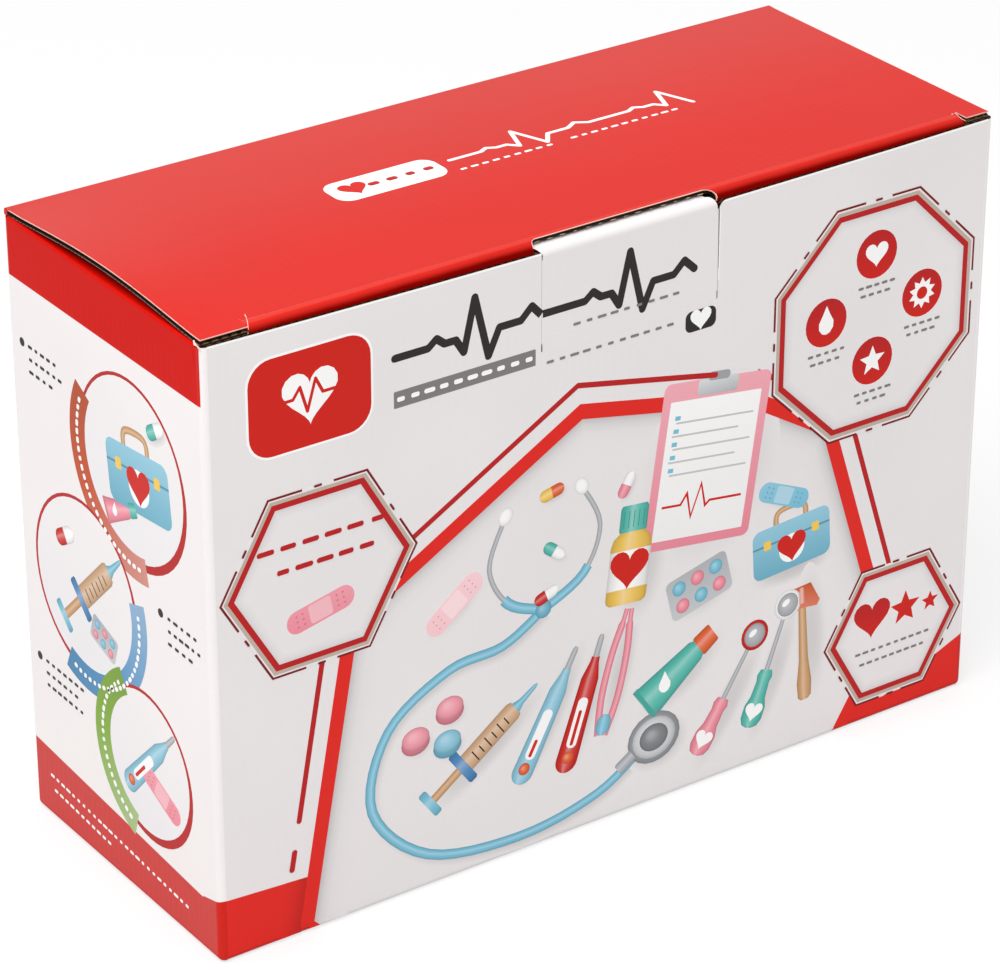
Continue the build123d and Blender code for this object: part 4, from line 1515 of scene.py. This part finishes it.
# The front's picture
heading = {"left": -83, "level": 190.5, "width": 2.6, "tall": 0.95, "badge": (-113, 186.5, 0, 1),
           "strip": (-57.5, 176.6, 0, 1), "tab": (32, 172.2, 0, 1)}
frameLine = {
    "points": [(-118.6, 3), (-101, 100), (-88, 112), (-14, 153), (52, 139), (86, 118), (110, 44), (108, 20),
               (96, 0.6)],
    "toe": [(-118, 4.5), (-115.7, 3.2), (-113.8, 1.3), (-118, 1.3)],
    "width": 5.2, "offset": 8.9, "thin": 1.9, "shade": 15.0,
    "footShade": ((-0.6, 0.72), (1.6, 0.79), (4.4, 0.93), (8.0, 1.0)),
}
badges = {
    "left": {"at": (-111, 126), "radius": 31.5, "sides": 6, "angle": 0},
    "topRight": {"at": (103, 154), "radius": 41, "sides": 8, "angle": 22.5},
    "lowRight": {"at": (117.5, 33.5), "radius": 26, "sides": 6, "angle": 0},
}
badgeRim = 3.6


def drawHeading(sheet, tongueSheet):
    layPlate(sheet, heading["badge"], 44.6, 33.6, 8.8, inks["white"], 0.5)
    layPlate(sheet, heading["badge"], 43, 32, 8, inks["red"], 1)
    layShape(sheet, heartShape(-113, 186.3, 10.5), inks["white"], 2)
    beat = [(-126, 187), (-119, 187), (-116.5, 190.5), (-114, 182), (-111, 192), (-108.5, 187), (-100, 187)]
    layStroke(sheet, beat, 1.1, inks["red"], 3)
    line = pulseRow(heading["left"], heading["level"], 2, heading["tall"])
    cut = tongueBox[0].x
    inner = [p for p in line if p[0] < cut - 0.6] + [(cut - 0.5, heading["level"])]
    outer = [(cut + 0.1, heading["level"])] + [p for p in line if p[0] > cut + 0.6]
    layStroke(sheet, inner[:-1], heading["width"], inks["charcoal"], 1)
    layLine(sheet, inner[-2:], heading["width"], inks["charcoal"], 1.2)
    layStroke(tongueSheet, outer[1:], heading["width"], inks["charcoal"], 1)
    layLine(tongueSheet, outer[:2], heading["width"], inks["charcoal"], 1.2)
    layPlate(sheet, heading["strip"], 52, 5.6, 0.4, inks["grey"], 1)
    layPlate(sheet, heading["tab"], 12, 7.2, 2.2, inks["charcoal"], 1)
    layShape(sheet, heartShape(*heading["tab"][:2], 4.4), inks["white"], 2)


# the soft shade that the frame's left leg casts on the red band
def drawFootShade(sheet):
    (x, z), (topX, topZ) = frameLine["points"][:2]
    lean = (topX - x) / (topZ - z)
    edge = x - lean * z - frameLine["width"] / 2 * hypot(1, lean)
    steps = frameLine["footShade"]
    high = bands["frontHigh"] - bands["frontFall"] * x
    low = [(edge + lean * inkFilm["foot"] - away, inkFilm["foot"]) for away, tone in steps]
    top = [(edge + lean * high - away, high + bands["frontFall"] * away) for away, tone in steps]
    tones = [shaded(redsByHeight["front"]["low"], tone) for away, tone in steps]
    layPatch(sheet, [top, low], [tones, tones], underHeight(sheet))


def drawFrame(sheet):
    points = frameLine["points"]
    drawFootShade(sheet)
    inside = offsetLine(points[:8], -frameLine["shade"] / 2)
    soft = ((-1, 0.58), (-0.62, 0.7), (-0.36, 0.86), (0, 0.96), (0.5, 0.99), (1, 1.0))
    layLine(sheet, inside, frameLine["shade"], inks["paper"], underHeight(sheet), False, soft)
    layLine(sheet, points[:7], frameLine["width"], redsByHeight["front"]["low"], 1)
    layShape(sheet, frameLine["toe"], redsByHeight["front"]["low"], 2)
    layLine(sheet, points[7:], frameLine["width"] * 1.3, redsByHeight["front"]["low"], 1)
    outer = offsetLine(points[:7], frameLine["offset"])
    leg, slope, top = trimmed(outer[0:2], 38, 0), trimmed(outer[2:4], 0, 0), trimmed(outer[3:5], 0, 24)
    for line in (leg, slope + top[1:]):
        layStroke(sheet, line, frameLine["thin"], inks["darkRed"], 1)
    for line in (outer[4:6], outer[5:7]):
        layLine(sheet, trimmed(line, 0, 0), frameLine["thin"], inks["darkRed"], 1)
    return [trimmed(outer[0:2], 24, 0), trimmed(outer[3:5], 52, 0)]


def drawBadges(sheet):
    nextPicture(sheet, True)
    for place in badges.values():
        x, y, sides, angle = *place["at"], place["sides"], place["angle"]
        edge = regular(x, y, place["radius"], sides, angle)
        outer = regular(x, y, place["radius"] + badgeRim, sides, angle)
        layShape(sheet, outer, inks["paper"], 1)
        layLine(sheet, regular(x, y, place["radius"] + 1.6, sides, angle), 1.7, inks["beige"], 2, True)
        rim = offsetLine(edge, 2.6, True)
        layLine(sheet, rim, 3.6, inks["paper"], 3, True, ((-1, 1.0), (0.2, 0.93), (1, 0.8)))
        layLine(sheet, edge, 2.0, inks["darkRed"], 4, True)
        for i in range(sides):
            before, corner, after = outer[i - 1], outer[i], outer[(i + 1) % sides]
            stub = [mixed(corner, before, 0.34), corner, mixed(corner, after, 0.34)]
            layLine(sheet, stub, 0.75, inks["maroon"], 5)
    icons = {"heart": (0, 22), "drop": (-20, 3), "sun": (20, 3), "star": (0, -16)}
    for kind, (u, v) in icons.items():
        x, y = badges["topRight"]["at"][0] + u, badges["topRight"]["at"][1] + v
        layShape(sheet, ring(x, y, 8.4), inks["red"], 5, inks["darkRed"])
        if kind == "heart":
            layShape(sheet, heartShape(x, y - 0.3, 5.0), inks["white"], 6)
        elif kind == "drop":
            layShape(sheet, dropShape(x, y, 4.8), inks["white"], 6)
        elif kind == "star":
            layShape(sheet, starShape(x, y, 5.4), inks["white"], 6)
        else:
            layShape(sheet, starShape(x, y, 5.6, 10, 0.66), inks["white"], 6)
            layShape(sheet, ring(x, y, 2.2), inks["red"], 7)
    x, y = badges["lowRight"]["at"]
    layShape(sheet, heartShape(x - 9.5, y + 6, 8.4), inks["red"], 5, inks["darkRed"])
    layShape(sheet, starShape(x + 5, y + 6.2, 6.6), inks["red"], 5)
    layShape(sheet, starShape(x + 16, y + 5.4, 3.8), inks["red"], 5)
    x, y = badges["left"]["at"]
    nextPicture(sheet, True)
    drawPlaster(sheet, (x, y - 12, 12, 0.95), inks["pink"])


def drawToys(sheet):
    drawStethoscope(sheet, (0, 0, 0, 1.04))
    drawClipboard(sheet, (36, 121, -8, 1.08))
    drawCase(sheet, (72, 80, 4, 1.0))
    drawBlister(sheet, (34, 76, 14, 1.0), inks["sky"])
    drawSyringe(sheet, (-73, 30, 36, 1.1))
    drawThermometer(sheet, (-38, 26, 62, 1.12), shaded(inks["sky"], 1.1), 0.4)
    drawThermometer(sheet, (-20, 24, 72, 1.12), inks["red"], 0.8)
    drawTweezers(sheet, (-5, 33, 76, 1.1))
    drawOintment(sheet, (12, 38, 34, 1.05), inks["teal"], inks["orange"])
    drawMirror(sheet, (34, 12, 58, 1.12), inks["pink"], inks["red"])
    drawMirror(sheet, (56, 15, 70, 1.12), inks["teal"], inks["white"])
    drawHammer(sheet, (80, 18, 94, 1.14))
    for u, v, colour in ((-77, 56, "pink"), (-64, 63, "pink"), (-65, 51, "sky")):
        nextPicture(sheet)
        layShadow(sheet, u + 1, v - 2, 6.6, 5.4, 0, 0.2)
        layBall(sheet, u, v - 1, 5.4, shaded(inks[colour], 0.8), 2, 4.4)
        layBall(sheet, u, v + 0.6, 5.2, shaded(inks[colour], 1.1), 4, 4.0)
    nextPicture(sheet, True)
    drawBottle(sheet, (4, 79, 84, 1.1))
    drawPlaster(sheet, (-62, 100, 38, 0.95), inks["palePink"])
    drawPlaster(sheet, (68, 99, -24, 0.85), inks["sky"])
    for u, v, angle, first, second in ((-27, 92, 20, "red", "white"), (-24, 107, -38, "teal", "white"),
                                       (-25, 128, 12, "yellow", "orange"), (4, 122, 60, "pink", "white")):
        layPill(sheet, (u, v, angle, 0.95), 10, 4.6, inks[first], inks[second], 3)


# The front's dashes, and rows of short bars where words would stand. A pitch of 500 puts one bar on a line.
def printFrontMarks(high, strays):
    dash = {"pitch": 500.0, "length": 8.0, "width": frameLine["thin"], "height": 0.03}
    printMarks("front_frame_dashes", "front", strays, dash, "darkRedMarks", "carton")
    rims = []
    for place in badges.values():
        edge = regular(*place["at"], place["radius"] + badgeRim, place["sides"], place["angle"])
        rims += dashSpots(edge, 0.5, True)
    rim = {"pitch": 500.0, "length": 2.8, "width": 0.75, "height": high}
    printMarks("front_badge_dashes", "front", rims, rim, "maroonMarks", "carton")
    x, y = badges["left"]["at"]
    big = {"pitch": 7.4, "length": 6.4, "width": 1.7, "height": high, "vary": 0.45, "seed": 3}
    rows = [[(x - 19, y + 13), (x + 21, y + 13)], [(x - 13, y + 5), (x + 17, y + 5)]]
    printMarks("front_words_large", "front", rows, big, "darkRedMarks", "carton")
    small = {"pitch": 3.2, "length": 2.6, "width": 0.9, "height": high, "vary": 0.4, "seed": 5}
    x, y = badges["topRight"]["at"]
    rows = []
    for u, v in ((0, 11.2), (-20, -7.8), (20, -7.8), (0, -27)):
        rows += [[(x + u - 6, y + v), (x + u + 7, y + v)], [(x + u - 5, y + v - 3), (x + u + 5, y + v - 3)]]
    x, y = badges["lowRight"]["at"]
    rows += [[(x - 15, y - 6), (x + 15, y - 6)], [(x - 13, y - 10.4), (x + 13, y - 10.4)]]
    printMarks("front_words_small", "front", rows, small, "greyMarks", "carton")
    strip = {"pitch": 4.8, "length": 4.0, "width": 1.5, "height": 0.05, "vary": 0.4, "seed": 8}
    rows = [[(-81, 176.6), (-34, 176.6)]]
    printMarks("front_strip_words", "front", rows, strip, "whiteMarks", "carton")
    plain = {"pitch": 4.4, "length": 3.4, "width": 0.9, "height": 0.03, "vary": 0.4, "seed": 9}
    rows = [[(-16, 183.8), (22, 183.8)]]
    printMarks("front_tongue_words", "front", rows, plain, "greyMarks", "lock_tongue")
    rows = [[(-26, 173.6), (20, 173.6)]]
    printMarks("front_foot_words", "front", rows, plain, "greyMarks", "carton")


def printFront():
    sheet, tongueSheet = startPrint("front"), startPrint("front")
    sheet["base"] = tongueSheet["base"] = inkFilm["ground"]
    drawHeading(sheet, tongueSheet)
    strays = drawFrame(sheet)
    drawToys(sheet)
    drawBadges(sheet)
    finishPrint(sheet, "front_print", "carton")
    finishPrint(tongueSheet, "tongue_print", "lock_tongue")
    printFrontMarks(sheet["top"], strays)


# The left side's picture
bannerHalf = 4.6
sideRings = [
    {"at": (15, 154), "radius": 31, "banner": ink(196, 84, 48), "from": 150, "to": 282},
    {"at": (-17, 99), "radius": 31, "banner": ink(84, 146, 192), "from": 246, "to": 376},
    {"at": (17, 52), "radius": 26, "banner": ink(132, 172, 62), "from": 118, "to": 252},
]
# a dot, and three rows of bars beside it: where it stands and how long its rows are
sideNotes = [(-50, 172, (15, 18, 12)), (29, 112, (15, 17, 12)), (-50, 60, (22, 18, 21))]


def arcLine(x, y, radius, start, stop, count=26):
    turns = [radians(start + (stop - start) * i / count) for i in range(count + 1)]
    return [(x + radius * cos(a), y + radius * sin(a)) for a in turns]


def printSide():
    sheet = startPrint("left")
    sheet["base"] = inkFilm["ground"]
    banners = []
    for place in sideRings:
        x, y = place["at"]
        radius = place["radius"]
        nextPicture(sheet, True)
        tint = mixed(inks["sidePaperLit"], inks["ringTint"], 0.25)
        layShape(sheet, ring(x, y, radius, count=48), tint, 1, inks["sidePaperLit"], (0.4, 1))
        swell = [1.2 + 1.8 * max(0, cos(2 * pi * i / 48 - 5.4)) ** 2 for i in range(48)]
        layLine(sheet, ring(x, y, radius, count=48), swell, inks["darkRed"], 3, True)
        middle = radius + 1.5
        arc = arcLine(x, y, middle, place["from"], place["to"])
        fade = [shaded(place["banner"], 0.82 + 0.4 * i / len(arc)) for i in range(len(arc))]
        rows = []
        for u, v in arc:
            reaches = [middle + k for k in (bannerHalf, -bannerHalf)]
            rows.append([(x + reach * (u - x) / middle, y + reach * (v - y) / middle) for reach in reaches])
        layPatch(sheet, rows, [[c, c] for c in fade], 5)
        banners.append(arcLine(x, y, middle, place["from"] + 8, place["to"] - 8))
    nextPicture(sheet, True)
    drawCase(sheet, (19, 152, 6, 1.15))
    drawOintment(sheet, (-2, 134, 22, 0.62), inks["pink"], inks["teal"])
    layPill(sheet, (30, 174, 30, 1.1), 10, 4.6, inks["teal"], inks["white"], 6)
    drawSyringe(sheet, (-33, 82, 44, 1.12), False)
    layPill(sheet, (-29, 113, 30, 1.25), 10, 4.6, inks["red"], inks["white"], 6)
    drawBlister(sheet, (-7, 86, -18, 0.62), inks["sky"])
    drawThermometer(sheet, (3, 38, 46, 1.02), shaded(inks["sky"], 1.1), 0.6, False)
    drawPlaster(sheet, (25, 45, -24, 0.9), inks["pink"])
    for u, v, reaches in sideNotes:
        layShape(sheet, ring(u, v, 1.5, count=14), inks["charcoal"], 2)
    finishPrint(sheet, "side_print", "carton")
    words = {"pitch": 2.9, "length": 2.4, "width": 1.5, "height": sheet["top"], "vary": 0.4, "seed": 11}
    printMarks("side_banner_words", "left", banners, words, "whiteMarks", "carton")
    plain = {"pitch": 3.3, "length": 2.8, "width": 1.0, "height": 0.03, "vary": 0.5, "seed": 12}
    rows = []
    for u, v, reaches in sideNotes:
        for i, reach in enumerate(reaches):
            rows.append([(u + 5, v - 4.4 * i), (u + 5 + reach, v - 4.4 * i)])
    printMarks("side_words", "left", rows, plain, "charcoalMarks", "carton")
    rows = [[(-46, 16.5), (38, 11)], [(-44, 11.5), (-10, 9.4)]]
    printMarks("side_band_words", "left", rows, dict(plain, seed=13), "whiteMarks", "carton")


# The lid's picture
def printLid():
    sheet = startPrint("lid")
    layPlate(sheet, (-42, 8, 0, 1), 41, 15, 5, inks["white"], 1)
    layShape(sheet, heartShape(-53.5, 8, 5.2), inks["red"], 2)
    line = pulseRow(-17, 9.5, 2, 0.62)
    layStroke(sheet, [p for p in line if p[0] < 78], 1.5, inks["white"], 1)
    finishPrint(sheet, "lid_print", "lid")
    words = {"pitch": 5.2, "length": 4.3, "width": 2.2, "height": 0.03, "vary": 0.3, "seed": 21}
    printMarks("lid_badge_words", "lid", [[(-46.5, 8), (-26, 8)]], words, "darkRedMarks", "lid")
    small = {"pitch": 3.8, "length": 3.1, "width": 1.1, "height": 0.01, "vary": 0.4, "seed": 22}
    rows = [[(-17, 1.4), (16, 1.4)], [(26, 2.0), (66, 2.0)]]
    printMarks("lid_words", "lid", rows, small, "whiteMarks", "lid")


# pale chips and fibres of torn paper along the cut edges
def printChips():
    lidBox = [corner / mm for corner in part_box("lid_print_sheet")]
    panels["lidEdge"] = {"origin": (lidBox[0].x, 0, 0), "u": (0, -1, 0), "v": (0, 0, 1), "n": (-1, 0, 0)}
    panels["slotEdge"] = {"origin": (0, 0, wall["top"] - 1.1), "u": (1, 0, 0), "v": (0, 1, 0), "n": (0, 0, 1)}
    lines = [[(-y, wall["top"] - 1.62 + bowAt(lidBox[0].x, y)) for y in range(52, -58, -3)]]
    chip = {"pitch": 2.1, "length": 2.3, "width": 0.15, "height": 0.0, "vary": 0.5, "seed": 31}
    printMarks("lid_edge_fibres", "lidEdge", lines, chip, "greyMarks", "lid")
    lines = [[(x, y + 0.12 * sin(0.9 * x)) for x in range(-29, 35, 2)] for y in (-54.75, -55.0)]
    chip = {"pitch": 4.7, "length": 2.3, "width": 0.13, "height": 0.0, "vary": 0.9, "seed": 47}
    printMarks("lid_slot_fibres", "slotEdge", lines, chip, "kraftPaleMarks", "lid")


printFront()
printSide()
printLid()
printChips()
print("pictures printed")


# Floor, lamps and world
studio = {"floor": 0.68, "floorSeen": 0.9, "floorShare": 0.3, "world": 0.7}
lamps = {"key": {"power": 28.5, "place": (-0.84, -0.38, 1.84), "size": 1.2},
         "fill": {"power": 3.6, "place": (1.2, -1.8, 1.0), "size": 1.6}}


def makeStudio():
    material, tree = newMaterial("floor")
    path = addNode(tree, "ShaderNodeLightPath")
    plain = addNode(tree, "ShaderNodeBsdfDiffuse", {"Color": (*[studio["floor"]] * 3, 1)})
    bright = addNode(tree, "ShaderNodeEmission", {"Color": (1, 1, 1, 1), "Strength": 1.0})
    seen = addNode(tree, "ShaderNodeBsdfDiffuse", {"Color": (*[studio["floorSeen"]] * 3, 1)})
    share = {0: studio["floorShare"], 1: bright.outputs[0], 2: seen.outputs[0]}
    lit = addNode(tree, "ShaderNodeMixShader", share)
    both = {0: path.outputs["Is Camera Ray"], 1: plain.outputs[0], 2: lit.outputs[0]}
    mix = addNode(tree, "ShaderNodeMixShader", both)
    addNode(tree, "ShaderNodeOutputMaterial", {0: mix.outputs[0]})
    mesh = bpy.data.meshes.new("floor")
    mesh.from_pydata([(-6, -6, 0), (6, -6, 0), (6, 6, 0), (-6, 6, 0)], [], [(0, 1, 2, 3)])
    mesh.materials.append(material)
    addObject("floor", mesh)

    world = bpy.data.worlds.new("studio")
    bpy.context.scene.world = world
    world.use_nodes = True
    tree = world.node_tree
    tree.nodes.clear()
    path = addNode(tree, "ShaderNodeLightPath")
    seen = calc(tree, "MAXIMUM", path.outputs["Is Camera Ray"], path.outputs["Is Transmission Ray"])
    strength = addNode(tree, "ShaderNodeMapRange", {0: seen, 1: 0.0, 2: 1.0, 3: studio["world"], 4: 1.0})
    glow = addNode(tree, "ShaderNodeBackground", {"Color": (1, 1, 1, 1), "Strength": strength.outputs[0]})
    addNode(tree, "ShaderNodeOutputWorld", {0: glow.outputs[0]})

    for name, lamp in lamps.items():
        data = bpy.data.lights.new(name, "AREA")
        data.energy = lamp["power"]
        data.size = lamp["size"]
        light = addObject(name, data)
        light.location = lamp["place"]
        aim = Vector(lamp["place"]) - Vector((0, 0, 0.1))
        light.rotation_euler = aim.to_track_quat("Z", "Y").to_euler()


makeStudio()
bpy.context.scene.view_settings.view_transform = "Standard"
print("studio set")
